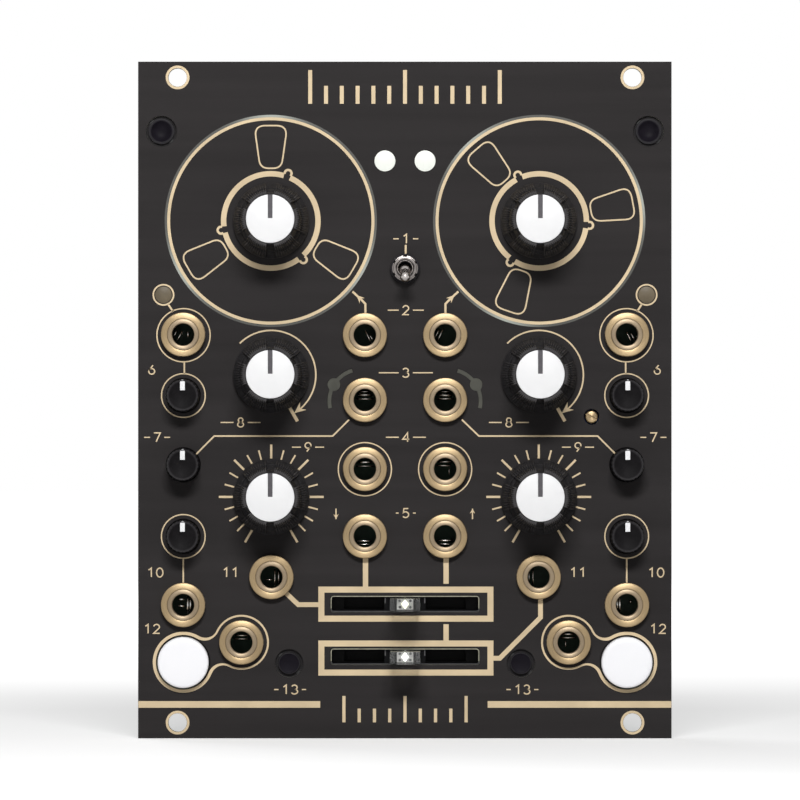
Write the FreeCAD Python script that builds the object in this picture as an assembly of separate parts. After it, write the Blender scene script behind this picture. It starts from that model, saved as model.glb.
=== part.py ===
import FreeCAD, Part
import math
import os

# A two-channel rack module, 3U high and 20 HP wide, in millimetres.
# X runs to the right, Z up, and Y from the panel's front face (Y = 0) back to the electronics.
# The origin is the centre of the four rail screw holes on the panel's front face.

# Round pieces that repeat many times are drawn with flats, which keeps the model light
ROUND_FLATS = 18
SMALL_FLATS = 14
INNER_FLATS = 10
HIDDEN_FLATS = 8

# Panel and its rail screws
PANEL_WIDTH = 101.3
PANEL_HEIGHT = 128.5
PANEL_THICKNESS = 2.0
RAIL_SCREW_SPACING_X = 86.36
RAIL_SCREW_TO_EDGE_Z = 3.0
RAIL_SCREW_HOLE_RADIUS = 1.75
LEFT_EDGE_TO_SCREWS = 7.5

# Boards behind the panel
PANEL_TO_BOARD = 10.0
BOARD_THICKNESS = 1.6
FRONT_BOARD_WIDTH = 99.6
FRONT_BOARD_HEIGHT = 110.5
REAR_BOARD_WIDTH = 94.0
REAR_BOARD_HEIGHT = 100.0

# Hexagonal spacers between the boards
SPACER_LENGTH = 11.0
SPACER_ACROSS_FLATS = 5.5
SPACER_TOP_X = 36.0
SPACER_TOP_Z = 45.5
SPACER_LOW_X = 34.0
SPACER_LOW_Z = -28.5

# Where the controls stand: columns are mirrored left and right of the centre line
OUTER_COLUMN_X = 42.1
KNOB_COLUMN_X = 25.4
INNER_COLUMN_X = 7.62
REEL_Z = 34.0
LENGTH_Z = 4.75
START_Z = -18.4
INPUT_JACK_Z = 12.4
INPUT_POT_Z = 0.85
TIME_POT_Z = -12.3
OUTPUT_POT_Z = -25.9
OUTPUT_JACK_Z = -38.9
SPEED_JACK_Z = 12.3
CLOCK_JACK_Z = 0.0
RETRIGGER_JACK_Z = -13.1
AUXILIARY_JACK_Z = -25.85
CV_JACK_X = 25.35
CV_JACK_Z = -33.6
RECORD_BUTTON_Z = -49.8
RECORD_BUTTON_TO_JACK_Z = 3.8
ERASE_BUTTON_Z = -50.0
CORNER_BUTTON_X = 46.25
CORNER_BUTTON_TO_EDGE_Z = 13.25
TOGGLE_Z = 24.95
SLIDER_HIGH_Z = -38.7
SLIDER_LOW_Z = -48.7
WINDOW_TOP_X = 3.81
WINDOW_TOP_Z = 45.4
WINDOW_INPUT_X = 45.87
WINDOW_INPUT_Z = 19.97

# Gaps in the lowest row, from the slide pots out: before the erase switch, before the record
# jack and before the record switch. They keep their proportions when the row gets longer.
LOW_ROW_GAPS = [1.5, 1.55, 1.85]

# Jack: threaded bushing, round nut, moulded housing and its spring contact
JACK_BORE_RADIUS = 1.8
JACK_BUSHING_RADIUS = 3.0
JACK_BUSHING_LENGTH = 4.5
JACK_NUT_RADIUS = 4.15
JACK_NUT_THICKNESS = 1.9
JACK_HOUSING_WIDTH = 9.0
JACK_HOUSING_LONG_SIDE = 5.7
JACK_HOUSING_WALL = 1.2
JACK_CAVITY_WIDTH = 4.8
JACK_CONTACT_WIDTH = 2.4
JACK_CONTACT_THICKNESS = 0.3
JACK_CONTACT_OFFSET = 2.4
JACK_CONTACT_BEND = 0.9
THREAD_CLEARANCE = 0.08

# Large pot: housing, bushing, nut and shaft
POT_WIDTH = 9.8
POT_HEIGHT = 11.0
POT_DEPTH = 6.8
POT_BUSHING_RADIUS = 3.5
POT_BUSHING_PROUD = 2.6
POT_NUT_ACROSS_FLATS = 10.0
POT_NUT_THICKNESS = 2.0
SHAFT_RADIUS = 3.0
SHAFT_FLAT_DEPTH = 1.0
SHAFT_END_GAP = 0.1
SHAFT_CLEARANCE = 0.05

# Large knob: flared skirt, grip with wide flutes and a cap let into its top
KNOB_PANEL_GAP = 0.8
KNOB_HEIGHT = 15.2
KNOB_SKIRT_RADIUS = 7.2
KNOB_SKIRT_RIM = 0.9
KNOB_FLARE_HEIGHT = 4.2
KNOB_GRIP_BASE_RADIUS = 6.0
KNOB_GRIP_TOP_RADIUS = 5.45
KNOB_SHOULDER = 0.25
KNOB_FLUTES = 6
KNOB_FLUTE_WIDTH = 1.6
KNOB_FLUTE_DEPTH = 0.65
KNOB_LAND_FLATS = 3
KNOB_WALL = 1.0
KNOB_CAVITY_DEPTH = 2.8
KNOB_SHAFT_DEPTH = 10.0
CAP_RADIUS = 4.56
CAP_THICKNESS = 1.4
CAP_PROUD = 0.3
CAP_POINTER_WIDTH = 0.85
CAP_POINTER_DEPTH = 0.25
CAP_CLEARANCE = 0.05

# Small pot and its one-piece knob
SMALL_POT_WIDTH = 9.7
SMALL_POT_DEPTH = 5.5
SMALL_KNOB_RADIUS = 3.15
SMALL_KNOB_NECK_RADIUS = 2.2
SMALL_KNOB_PROUD = 7.0
SMALL_KNOB_CHAMFER = 0.4
SMALL_KNOB_POINTER_WIDTH = 1.0
SMALL_KNOB_POINTER_LENGTH = 2.1
SMALL_KNOB_POINTER_DEPTH = 0.2
SMALL_KNOB_HOLE_GAP = 0.35

# Toggle switch
TOGGLE_BUSHING_RADIUS = 2.43
TOGGLE_BUSHING_PROUD = 3.6
TOGGLE_BORE_RADIUS = 1.6
TOGGLE_NUT_RADIUS = 3.05
TOGGLE_NUT_THICKNESS = 1.6
TOGGLE_PIVOT_DEPTH = 3.1
TOGGLE_TIP_REACH = 6.1
TOGGLE_TIP_RADIUS = 1.05
TOGGLE_NECK_RADIUS = 0.6
TOGGLE_BALL_RADIUS = 1.2
TOGGLE_TILT = 12.0
TOGGLE_HOUSING_WIDTH = 5.0
TOGGLE_HOUSING_HEIGHT = 8.4
TOGGLE_HOUSING_DEPTH = 7.2
TOGGLE_LEG_WIDTH = 1.2
TOGGLE_LEG_PITCH = 2.54

# Slide pots: long metal frames, a black carriage and a clear lever that is lit from inside
SLIDER_TRAVEL = 20.0
SLIDER_SLOT_LENGTH = 28.4
SLIDER_SLOT_HEIGHT = 3.2
SLIDER_SLOT_CORNER = 0.5
SLIDER_FRAME_LENGTH = 35.0
SLIDER_FRAME_HEIGHT = 8.4
SLIDER_FRAME_DEPTH = 6.6
SLIDER_FRAME_WALL = 0.7
SLIDER_LEVER_WIDTH = 3.4
SLIDER_LEVER_HEIGHT = 2.3
SLIDER_LEVER_PROUD = 13.0
SLIDER_LEVER_SEAT = 1.2
SLIDER_STEP_WIDTH = 5.8
SLIDER_CARRIAGE_WIDTH = 7.8
SLIDER_CARRIAGE_RECESS = 0.5
SLIDER_STEP_DROP = 0.8
SLIDER_STEM_WIDTH = 2.6
SLIDER_STEM_HEIGHT = 1.6
SLIDER_CLEARANCE = 0.3

# Record buttons
RECORD_BUTTON_RADIUS = 4.9
RECORD_BUTTON_PROUD = 2.4
RECORD_BUTTON_EDGE = 0.5
RECORD_BUTTON_THICKNESS = 3.6
RECORD_STEM_WIDTH = 4.4
RECORD_HOUSING_WIDTH = 9.4
RECORD_HOUSING_DEPTH = 6.0
RECORD_BUTTON_TRAVEL = 1.5
RECORD_HOLE_GAP = 0.3

# Small round buttons on tactile switches
ERASE_CAP_RADIUS = 2.15
ERASE_HOLE_RADIUS = 2.78
CORNER_CAP_RADIUS = 2.45
CORNER_HOLE_RADIUS = 2.9
BUTTON_PROUD = 0.4
BUTTON_DISH_DEPTH = 0.35
BUTTON_RIM = 0.4
BUTTON_STEM_WIDTH = 2.4
BUTTON_TRAVEL = 0.3
SWITCH_WIDTH = 6.0
SWITCH_DEPTH = 3.6
SWITCH_POCKET_CLEARANCE = 0.1

# Calibration trimmer
TRIMMER_Z = -3.2
TRIMMER_WIDTH = 4.6
TRIMMER_HEIGHT = 9.5
TRIMMER_DEPTH = 9.4
TRIMMER_SCREW_RADIUS = 1.17
TRIMMER_SCREW_PROUD = 1.8
TRIMMER_SCREW_SEAT = 1.0
TRIMMER_SLOT_WIDTH = 0.4
TRIMMER_SLOT_DEPTH = 0.5
TRIMMER_HOLE_RADIUS = 1.5
TRIMMER_EDGE_TO_SCREW = 1.5
TRIMMER_POT_GAP = 0.3

# Lights behind the windows
LED_RADIUS = 1.9
LED_PANEL_GAP = 0.2

# Rear board: power header, connectors, chips and capacitors
CONNECTOR_LENGTH = 25.4
CONNECTOR_WIDTH = 2.5
CONNECTOR_SOCKET_HEIGHT = 8.5
CONNECTOR_GAP = 0.05
CONNECTOR_X = 12.0
CONNECTOR_HIGH_Z = 38.0
CONNECTOR_LOW_Z = -8.0
POWER_HEADER_LENGTH = 20.3
POWER_HEADER_WIDTH = 8.8
POWER_HEADER_DEPTH = 8.9
POWER_HEADER_WALL = 1.2
POWER_HEADER_FLOOR = 2.5
POWER_HEADER_KEY_WIDTH = 4.5
POWER_HEADER_Z = 36.0
POWER_PIN_WIDTH = 0.64
POWER_PIN_PITCH = 2.54
POWER_PIN_TIP_GAP = 1.2
POWER_PIN_COLUMNS = 5
CHIP_THICKNESS = 1.4
PROCESSOR_WIDTH = 14.0
MEMORY_WIDTH = 8.0
CODEC_WIDTH = 5.0
CAPACITOR_RADIUS = 3.15
CAPACITOR_HEIGHT = 5.8
CAPACITOR_BASE = 1.0
CAPACITOR_BASE_WIDTH = 6.6
CHIP_ROW_Z = 4.0

SIDES = {"left": -1, "right": 1}

# Places that follow from the panel's edges and from the pieces beside them
RAIL_SCREW_SPACING_Z = PANEL_HEIGHT - 2 * RAIL_SCREW_TO_EDGE_Z
CORNER_BUTTON_Z = PANEL_HEIGHT / 2 - CORNER_BUTTON_TO_EDGE_Z
RECORD_JACK_Z = RECORD_BUTTON_Z + RECORD_BUTTON_TO_JACK_Z
LOW_ROW_START = SLIDER_FRAME_LENGTH / 2
LOW_ROW_END = OUTER_COLUMN_X - RECORD_HOUSING_WIDTH / 2
LOW_ROW_FREE = LOW_ROW_END - LOW_ROW_START - SWITCH_WIDTH - JACK_HOUSING_WIDTH
ERASE_GAP, RECORD_JACK_GAP, RECORD_GAP = [LOW_ROW_FREE * gap / sum(LOW_ROW_GAPS) for gap in LOW_ROW_GAPS]
ERASE_BUTTON_X = LOW_ROW_START + ERASE_GAP + SWITCH_WIDTH / 2
RECORD_JACK_X = LOW_ROW_END - RECORD_GAP - JACK_HOUSING_WIDTH / 2

# Faces along Y that the pieces share
PANEL_BACK = PANEL_THICKNESS
FRONT_BOARD_FRONT = PANEL_BACK + PANEL_TO_BOARD
FRONT_BOARD_BACK = FRONT_BOARD_FRONT + BOARD_THICKNESS
REAR_BOARD_FRONT = FRONT_BOARD_BACK + SPACER_LENGTH
REAR_BOARD_BACK = REAR_BOARD_FRONT + BOARD_THICKNESS
PANEL_LEFT = -RAIL_SCREW_SPACING_X / 2 - LEFT_EDGE_TO_SCREWS


def vector(x, y, z):
    return FreeCAD.Vector(x, y, z)


def rod(x, z, radius, front, back):
    """A cylinder along Y between two depths."""
    return Part.makeCylinder(radius, back - front, vector(x, front, z), vector(0, 1, 0))


def block(x, z, width, height, front, back):
    """A box centred on x and z between two depths."""
    corner = vector(x - width / 2, front, z - height / 2)
    return Part.makeBox(width, back - front, height, corner)


def ring_points(x, z, radius, depth, flats):
    """Corners of a regular polygon about an axis along Y."""
    steps = [2 * math.pi * k / flats for k in range(flats)]
    return [vector(x + radius * math.cos(a), depth, z + radius * math.sin(a)) for a in steps]


def solid_between(front, back):
    """A solid with flat sides between two outlines that have matching corners, front and back."""
    faces = [Part.Face(Part.makePolygon(corners + corners[:1])) for corners in (front, back)]
    for k in range(len(front)):
        side = [front[k - 1], front[k], back[k], back[k - 1], front[k - 1]]
        faces.append(Part.Face(Part.makePolygon(side)))
    return Part.Solid(Part.Shell(faces))


def prism(x, z, radius, front, back, flats):
    return solid_between(ring_points(x, z, radius, front, flats), ring_points(x, z, radius, back, flats))


def stack(x, z, outline, flats):
    """A turned shape with flats, from (radius, depth) steps listed from front to back."""
    layers = []
    for (radius_a, depth_a), (radius_b, depth_b) in zip(outline, outline[1:]):
        if depth_b > depth_a:
            layers.append(
                solid_between(
                    ring_points(x, z, radius_a, depth_a, flats), ring_points(x, z, radius_b, depth_b, flats)
                )
            )
    if len(layers) == 1:
        return layers[0]
    return layers[0].fuse(layers[1:]).removeSplitter()


def around(radius, flats):
    """The corner radius of a polygon whose flats just clear a circle of this radius."""
    return radius / math.cos(math.pi / flats)


def turned(shape, x, z, angle):
    """The shape turned about an axis along Y; a positive angle is anticlockwise seen from the front."""
    copy = shape.copy()
    copy.rotate(vector(x, 0, z), vector(0, -1, 0), angle)
    return copy


def mirrored_pair(x, z):
    return [(-x, z), (x, z)]


# Each jack's place and the way its contact faces, anticlockwise from +X seen from the front
def jack_places():
    left = [
        (-OUTER_COLUMN_X, INPUT_JACK_Z, 135),
        (-INNER_COLUMN_X, SPEED_JACK_Z, 45),
        (-INNER_COLUMN_X, CLOCK_JACK_Z, 90),
        (-INNER_COLUMN_X, RETRIGGER_JACK_Z, 90),
        (-INNER_COLUMN_X, AUXILIARY_JACK_Z, 270),
        (-CV_JACK_X, CV_JACK_Z, 0),
        (-OUTER_COLUMN_X, OUTPUT_JACK_Z, 0),
        (-RECORD_JACK_X, RECORD_JACK_Z, 90),
    ]
    return left + [(-x, z, 180 - angle) for x, z, angle in left]


def large_pot_places():
    places = {}
    for side, sign in SIDES.items():
        places["speed_" + side] = (sign * KNOB_COLUMN_X, REEL_Z)
        places["length_" + side] = (sign * KNOB_COLUMN_X, LENGTH_Z)
        places["start_" + side] = (sign * KNOB_COLUMN_X, START_Z)
    return places


def small_pot_places():
    places = {}
    for side, sign in SIDES.items():
        places["input_" + side] = (sign * OUTER_COLUMN_X, INPUT_POT_Z)
        places["time_" + side] = (sign * OUTER_COLUMN_X, TIME_POT_Z)
        places["output_" + side] = (sign * OUTER_COLUMN_X, OUTPUT_POT_Z)
    return places


def spacer_places():
    return mirrored_pair(SPACER_TOP_X, SPACER_TOP_Z) + mirrored_pair(SPACER_LOW_X, SPACER_LOW_Z)


TRIMMER_X = OUTER_COLUMN_X - SMALL_POT_WIDTH / 2 - TRIMMER_POT_GAP - TRIMMER_EDGE_TO_SCREW


def slot_cutter(z):
    cutter = block(0, z, SLIDER_SLOT_LENGTH, SLIDER_SLOT_HEIGHT, 0, PANEL_BACK)
    upright = [edge for edge in cutter.Edges if abs(edge.tangentAt(edge.FirstParameter).y) > 0.9]
    return cutter.makeChamfer(SLIDER_SLOT_CORNER, upright)


def panel():
    """The front plate with every hole and slot that a control passes through."""
    plate = Part.makeBox(
        PANEL_WIDTH, PANEL_THICKNESS, PANEL_HEIGHT, vector(PANEL_LEFT, 0, -PANEL_HEIGHT / 2)
    )
    hidden = [(x, z, JACK_BUSHING_RADIUS) for x, z, angle in jack_places()]
    hidden += [(x, z, POT_BUSHING_RADIUS) for x, z in large_pot_places().values()]
    hidden.append((0, TOGGLE_Z, TOGGLE_BUSHING_RADIUS))
    record_hole = RECORD_BUTTON_RADIUS + RECORD_HOLE_GAP
    open_holes = [(x, z, SMALL_KNOB_RADIUS + SMALL_KNOB_HOLE_GAP) for x, z in small_pot_places().values()]
    open_holes += [(x, z, record_hole) for x, z in mirrored_pair(OUTER_COLUMN_X, RECORD_BUTTON_Z)]
    open_holes += [(x, z, ERASE_HOLE_RADIUS) for x, z in mirrored_pair(ERASE_BUTTON_X, ERASE_BUTTON_Z)]
    open_holes += [(x, z, CORNER_HOLE_RADIUS) for x, z in mirrored_pair(CORNER_BUTTON_X, CORNER_BUTTON_Z)]
    open_holes.append((TRIMMER_X, TRIMMER_Z, TRIMMER_HOLE_RADIUS))
    cutters = [slot_cutter(SLIDER_HIGH_Z), slot_cutter(SLIDER_LOW_Z)]
    for x, z, bushing_radius in hidden:
        corner = around(bushing_radius + THREAD_CLEARANCE, HIDDEN_FLATS)
        cutters.append(prism(x, z, corner, 0, PANEL_BACK, HIDDEN_FLATS))
    cutters += [prism(x, z, radius, 0, PANEL_BACK, SMALL_FLATS) for x, z, radius in open_holes]
    for x in (-RAIL_SCREW_SPACING_X / 2, RAIL_SCREW_SPACING_X / 2):
        for z in (-RAIL_SCREW_SPACING_Z / 2, RAIL_SCREW_SPACING_Z / 2):
            cutters.append(rod(x, z, RAIL_SCREW_HOLE_RADIUS, 0, PANEL_BACK))
    return [plate.cut(cutters)]


def board(width, height, front):
    return [block(0, 0, width, height, front, front + BOARD_THICKNESS)]


def board_spacers():
    corner = around(SPACER_ACROSS_FLATS / 2, 6)
    return [prism(x, z, corner, FRONT_BOARD_BACK, REAR_BOARD_FRONT, 6) for x, z in spacer_places()]


def jack_bushings():
    """Threaded sleeves that a plug goes into, standing on the jack housings."""
    front = PANEL_BACK - JACK_BUSHING_LENGTH
    return [
        prism(x, z, JACK_BUSHING_RADIUS, front, PANEL_BACK, HIDDEN_FLATS).cut(
            rod(x, z, JACK_BORE_RADIUS, front, PANEL_BACK)
        )
        for x, z, angle in jack_places()
    ]


def nut(x, z, radius, bushing_radius, thickness, flats, thread_flats):
    """A nut on the panel's front, whose thread has the flats of its bushing and clears it."""
    thread = prism(x, z, bushing_radius + THREAD_CLEARANCE, -thickness, 0, thread_flats)
    return prism(x, z, radius, -thickness, 0, flats).cut(thread)


def jack_nuts():
    return [
        nut(x, z, JACK_NUT_RADIUS, JACK_BUSHING_RADIUS, JACK_NUT_THICKNESS, SMALL_FLATS, HIDDEN_FLATS)
        for x, z, angle in jack_places()
    ]


def jack_housings():
    """Moulded boxes with a cavity for the plug; the long side holds the spring contact."""
    front = PANEL_BACK
    length = JACK_HOUSING_WIDTH / 2 + JACK_HOUSING_LONG_SIDE
    shift = (JACK_HOUSING_LONG_SIDE - JACK_HOUSING_WIDTH / 2) / 2
    cavity_length = length - 2 * JACK_HOUSING_WALL
    housings = []
    for x, z, angle in jack_places():
        shell = block(x + shift, z, length, JACK_HOUSING_WIDTH, front, FRONT_BOARD_FRONT)
        cavity = block(x + shift, z, cavity_length, JACK_CAVITY_WIDTH, front, FRONT_BOARD_FRONT)
        housings.append(turned(shell.cut(cavity), x, z, angle))
    return housings


def jack_contacts():
    """Sprung strips that stand on the board in the cavity and bend in towards the plug."""
    front = PANEL_BACK + JACK_HOUSING_WALL
    middle = (front + FRONT_BOARD_FRONT) / 2
    near = JACK_CONTACT_OFFSET
    far = near + JACK_CONTACT_BEND
    outline = [
        (far, FRONT_BOARD_FRONT),
        (far, middle + JACK_CONTACT_BEND),
        (near, middle),
        (far, front),
        (far + JACK_CONTACT_THICKNESS, front),
        (near + JACK_CONTACT_THICKNESS, middle),
        (far + JACK_CONTACT_THICKNESS, middle + JACK_CONTACT_BEND),
        (far + JACK_CONTACT_THICKNESS, FRONT_BOARD_FRONT),
    ]
    contacts = []
    for x, z, angle in jack_places():
        low = z - JACK_CONTACT_WIDTH / 2
        points = [vector(x + offset, depth, low) for offset, depth in outline]
        strip = Part.Face(Part.makePolygon(points + points[:1])).extrude(vector(0, 0, JACK_CONTACT_WIDTH))
        contacts.append(turned(strip, x, z, angle))
    return contacts


POT_FRONT = FRONT_BOARD_FRONT - POT_DEPTH


def pot_housings():
    return [
        block(x, z, POT_WIDTH, POT_HEIGHT, POT_FRONT, FRONT_BOARD_FRONT)
        for x, z in large_pot_places().values()
    ]


def control_bushings():
    """Threaded sleeves of the six large pots and of the toggle switch."""
    bore = around(SHAFT_RADIUS + SHAFT_CLEARANCE, INNER_FLATS)
    sleeves = [
        prism(x, z, POT_BUSHING_RADIUS, -POT_BUSHING_PROUD, POT_FRONT, INNER_FLATS).cut(
            prism(x, z, bore, -POT_BUSHING_PROUD, POT_FRONT, INNER_FLATS)
        )
        for x, z in large_pot_places().values()
    ]
    toggle = prism(0, TOGGLE_Z, TOGGLE_BUSHING_RADIUS, -TOGGLE_BUSHING_PROUD, PANEL_BACK, INNER_FLATS)
    toggle_bore = prism(0, TOGGLE_Z, TOGGLE_BORE_RADIUS, -TOGGLE_BUSHING_PROUD, PANEL_BACK, INNER_FLATS)
    return sleeves + [toggle.cut(toggle_bore)]


def control_nuts():
    """Hexagon nuts under the large knobs and the round nut of the toggle switch."""
    hexagon = (around(POT_NUT_ACROSS_FLATS / 2, 6), POT_BUSHING_RADIUS, POT_NUT_THICKNESS, 6, INNER_FLATS)
    ring = (TOGGLE_NUT_RADIUS, TOGGLE_BUSHING_RADIUS, TOGGLE_NUT_THICKNESS, SMALL_FLATS, INNER_FLATS)
    return [nut(x, z, *hexagon) for x, z in large_pot_places().values()] + [nut(0, TOGGLE_Z, *ring)]


KNOB_BASE = -KNOB_PANEL_GAP
KNOB_TOP = KNOB_BASE - KNOB_HEIGHT
CAP_SEAT = KNOB_TOP + CAP_THICKNESS - CAP_PROUD
KNOB_CEILING = KNOB_BASE - KNOB_CAVITY_DEPTH
SHAFT_TIP = KNOB_CEILING - KNOB_SHAFT_DEPTH


def shaft_flat(x, z, clearance, front, back):
    """The block that the flat of a shaft leaves free below it."""
    flat_z = z - SHAFT_RADIUS + SHAFT_FLAT_DEPTH - clearance
    return block(x, flat_z - SHAFT_RADIUS, 3 * SHAFT_RADIUS, 2 * SHAFT_RADIUS, front, back)


def pot_shaft(x, z):
    """A shaft with a flat on it where the knob grips."""
    shaft = prism(x, z, SHAFT_RADIUS, SHAFT_TIP, POT_FRONT - SHAFT_END_GAP, HIDDEN_FLATS)
    return shaft.cut(shaft_flat(x, z, 0, SHAFT_TIP, KNOB_CEILING))


def grip_outline(x, z, scale, depth):
    """The grip's outline: wide flutes with flat floors, and lands of a few flats between them."""
    corners = []
    half_width = KNOB_FLUTE_WIDTH / 2
    floor = KNOB_GRIP_BASE_RADIUS - KNOB_FLUTE_DEPTH
    edge_angle = math.asin(half_width / KNOB_GRIP_BASE_RADIUS)
    pitch = 2 * math.pi / KNOB_FLUTES
    for k in range(KNOB_FLUTES):
        middle = math.pi / 2 + k * pitch
        polar = [
            (math.hypot(floor, half_width), middle - math.atan2(half_width, floor)),
            (math.hypot(floor, half_width), middle + math.atan2(half_width, floor)),
        ]
        land = pitch - 2 * edge_angle
        for step in range(KNOB_LAND_FLATS + 1):
            polar.append((KNOB_GRIP_BASE_RADIUS, middle + edge_angle + land * step / KNOB_LAND_FLATS))
        corners += [
            vector(x + scale * radius * math.cos(angle), depth, z + scale * radius * math.sin(angle))
            for radius, angle in polar
        ]
    return corners


def large_knob(x, z):
    """A fluted grip on a flared skirt, hollow below for the nut and bored for the shaft."""
    flare = KNOB_BASE - KNOB_FLARE_HEIGHT
    skirt = stack(
        x, z,
        [
            (around(KNOB_GRIP_BASE_RADIUS, ROUND_FLATS) + KNOB_SHOULDER, flare),
            (KNOB_SKIRT_RADIUS, KNOB_BASE - KNOB_SKIRT_RIM),
            (KNOB_SKIRT_RADIUS, KNOB_BASE),
        ],
        ROUND_FLATS,
    )
    taper = KNOB_GRIP_TOP_RADIUS / KNOB_GRIP_BASE_RADIUS
    grip = solid_between(grip_outline(x, z, taper, KNOB_TOP), grip_outline(x, z, 1, flare))
    body = skirt.fuse(grip).removeSplitter()
    cavity = prism(x, z, KNOB_SKIRT_RADIUS - KNOB_WALL, KNOB_CEILING, KNOB_BASE, INNER_FLATS)
    recess = prism(x, z, CAP_RADIUS + CAP_CLEARANCE, KNOB_TOP, CAP_SEAT, ROUND_FLATS)
    bore = prism(x, z, SHAFT_RADIUS + SHAFT_CLEARANCE, SHAFT_TIP, KNOB_CEILING, HIDDEN_FLATS)
    bore = bore.cut(shaft_flat(x, z, SHAFT_CLEARANCE, SHAFT_TIP, KNOB_CEILING))
    return body.cut([cavity, recess, bore])


def knob_cap(x, z):
    """A flat disc with a pointer groove from its centre to its upper edge."""
    front = CAP_SEAT - CAP_THICKNESS
    disc = prism(x, z, CAP_RADIUS, front, CAP_SEAT, ROUND_FLATS)
    pointer = block(x, z + CAP_RADIUS / 2, CAP_POINTER_WIDTH, CAP_RADIUS, front, front + CAP_POINTER_DEPTH)
    return disc.cut(pointer)


SMALL_POT_FRONT = FRONT_BOARD_FRONT - SMALL_POT_DEPTH


def small_pot_housings():
    return [
        block(x, z, SMALL_POT_WIDTH, SMALL_POT_WIDTH, SMALL_POT_FRONT, FRONT_BOARD_FRONT)
        for x, z in small_pot_places().values()
    ]


def small_knob(x, z):
    """A one-piece knob and shaft with a pointer mark at its upper edge."""
    top = -SMALL_KNOB_PROUD
    outline = [
        (SMALL_KNOB_RADIUS - SMALL_KNOB_CHAMFER, top),
        (SMALL_KNOB_RADIUS, top + SMALL_KNOB_CHAMFER),
        (SMALL_KNOB_RADIUS, PANEL_BACK),
    ]
    neck = prism(x, z, SMALL_KNOB_NECK_RADIUS, PANEL_BACK, SMALL_POT_FRONT - SHAFT_END_GAP, HIDDEN_FLATS)
    mark_z = z + SMALL_KNOB_RADIUS - SMALL_KNOB_POINTER_LENGTH / 2
    mark = block(
        x, mark_z, SMALL_KNOB_POINTER_WIDTH, SMALL_KNOB_POINTER_LENGTH, top, top + SMALL_KNOB_POINTER_DEPTH
    )
    return stack(x, z, outline, ROUND_FLATS).fuse(neck).cut(mark)


TOGGLE_PIVOT_Y = TOGGLE_PIVOT_DEPTH - TOGGLE_BUSHING_PROUD


def toggle_lever():
    """A tapered lever with a round tip, leaning down from its pivot ball."""
    tip = TOGGLE_PIVOT_Y - TOGGLE_TIP_REACH
    outline = []
    for angle in (75, 45, 15):
        dome = math.radians(angle)
        outline.append((TOGGLE_TIP_RADIUS * math.cos(dome), tip - TOGGLE_TIP_RADIUS * math.sin(dome)))
    outline += [
        (TOGGLE_NECK_RADIUS, TOGGLE_PIVOT_Y - TOGGLE_BALL_RADIUS),
        (TOGGLE_BALL_RADIUS, TOGGLE_PIVOT_Y),
        (TOGGLE_NECK_RADIUS, TOGGLE_PIVOT_Y + TOGGLE_BALL_RADIUS),
    ]
    lever = stack(0, TOGGLE_Z, outline, INNER_FLATS)
    lever.rotate(vector(0, TOGGLE_PIVOT_Y, TOGGLE_Z), vector(1, 0, 0), TOGGLE_TILT)
    return lever


def toggle_housing():
    """The switch body with three legs down to the board."""
    back = PANEL_BACK + TOGGLE_HOUSING_DEPTH
    body = block(0, TOGGLE_Z, TOGGLE_HOUSING_WIDTH, TOGGLE_HOUSING_HEIGHT, PANEL_BACK, back)
    legs = [
        block(0, TOGGLE_Z + k * TOGGLE_LEG_PITCH, TOGGLE_LEG_WIDTH, TOGGLE_LEG_WIDTH, back, FRONT_BOARD_FRONT)
        for k in (-1, 0, 1)
    ]
    return [body.fuse(legs)]


SLIDER_FRAME_FRONT = FRONT_BOARD_FRONT - SLIDER_FRAME_DEPTH


def slide_pot_frames():
    """Folded metal frames, slotted along the front for the carriage's stem."""
    frames = []
    inner_front = SLIDER_FRAME_FRONT + SLIDER_FRAME_WALL
    slot_length = SLIDER_TRAVEL + SLIDER_STEM_WIDTH + 2 * SLIDER_CLEARANCE
    for z in (SLIDER_HIGH_Z, SLIDER_LOW_Z):
        shell = block(0, z, SLIDER_FRAME_LENGTH, SLIDER_FRAME_HEIGHT, SLIDER_FRAME_FRONT, FRONT_BOARD_FRONT)
        inner_length = SLIDER_FRAME_LENGTH - 2 * SLIDER_FRAME_WALL
        inner_height = SLIDER_FRAME_HEIGHT - 2 * SLIDER_FRAME_WALL
        cavity = block(0, z, inner_length, inner_height, inner_front, FRONT_BOARD_FRONT)
        slot_height = SLIDER_STEM_HEIGHT + 2 * SLIDER_CLEARANCE
        slot = block(0, z, slot_length, slot_height, SLIDER_FRAME_FRONT, inner_front)
        frames.append(shell.cut([cavity, slot]))
    return frames


def slider_carriage(z):
    """A stepped black carriage behind the panel slot, with a stem and a wiper inside the frame."""
    step_front = SLIDER_CARRIAGE_RECESS
    base_front = step_front + SLIDER_STEP_DROP
    base_back = SLIDER_FRAME_FRONT - SLIDER_CLEARANCE
    height = SLIDER_SLOT_HEIGHT - 2 * SLIDER_CLEARANCE
    inner_front = SLIDER_FRAME_FRONT + SLIDER_FRAME_WALL
    wiper_front = inner_front + SLIDER_CLEARANCE
    wiper_back = FRONT_BOARD_FRONT - SLIDER_CLEARANCE
    wiper_height = SLIDER_FRAME_HEIGHT - 2 * SLIDER_FRAME_WALL - 2 * SLIDER_CLEARANCE
    step = block(0, z, SLIDER_STEP_WIDTH, height, step_front, base_back)
    base = block(0, z, SLIDER_CARRIAGE_WIDTH, height, base_front, base_back)
    stem = block(0, z, SLIDER_STEM_WIDTH, SLIDER_STEM_HEIGHT, base_back, wiper_front)
    wiper = block(0, z, SLIDER_CARRIAGE_WIDTH, wiper_height, wiper_front, wiper_back)
    seat = block(
        0, z, SLIDER_LEVER_WIDTH, SLIDER_LEVER_HEIGHT, step_front, step_front + SLIDER_LEVER_SEAT
    )
    return step.fuse([base, stem, wiper]).removeSplitter().cut(seat)


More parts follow.
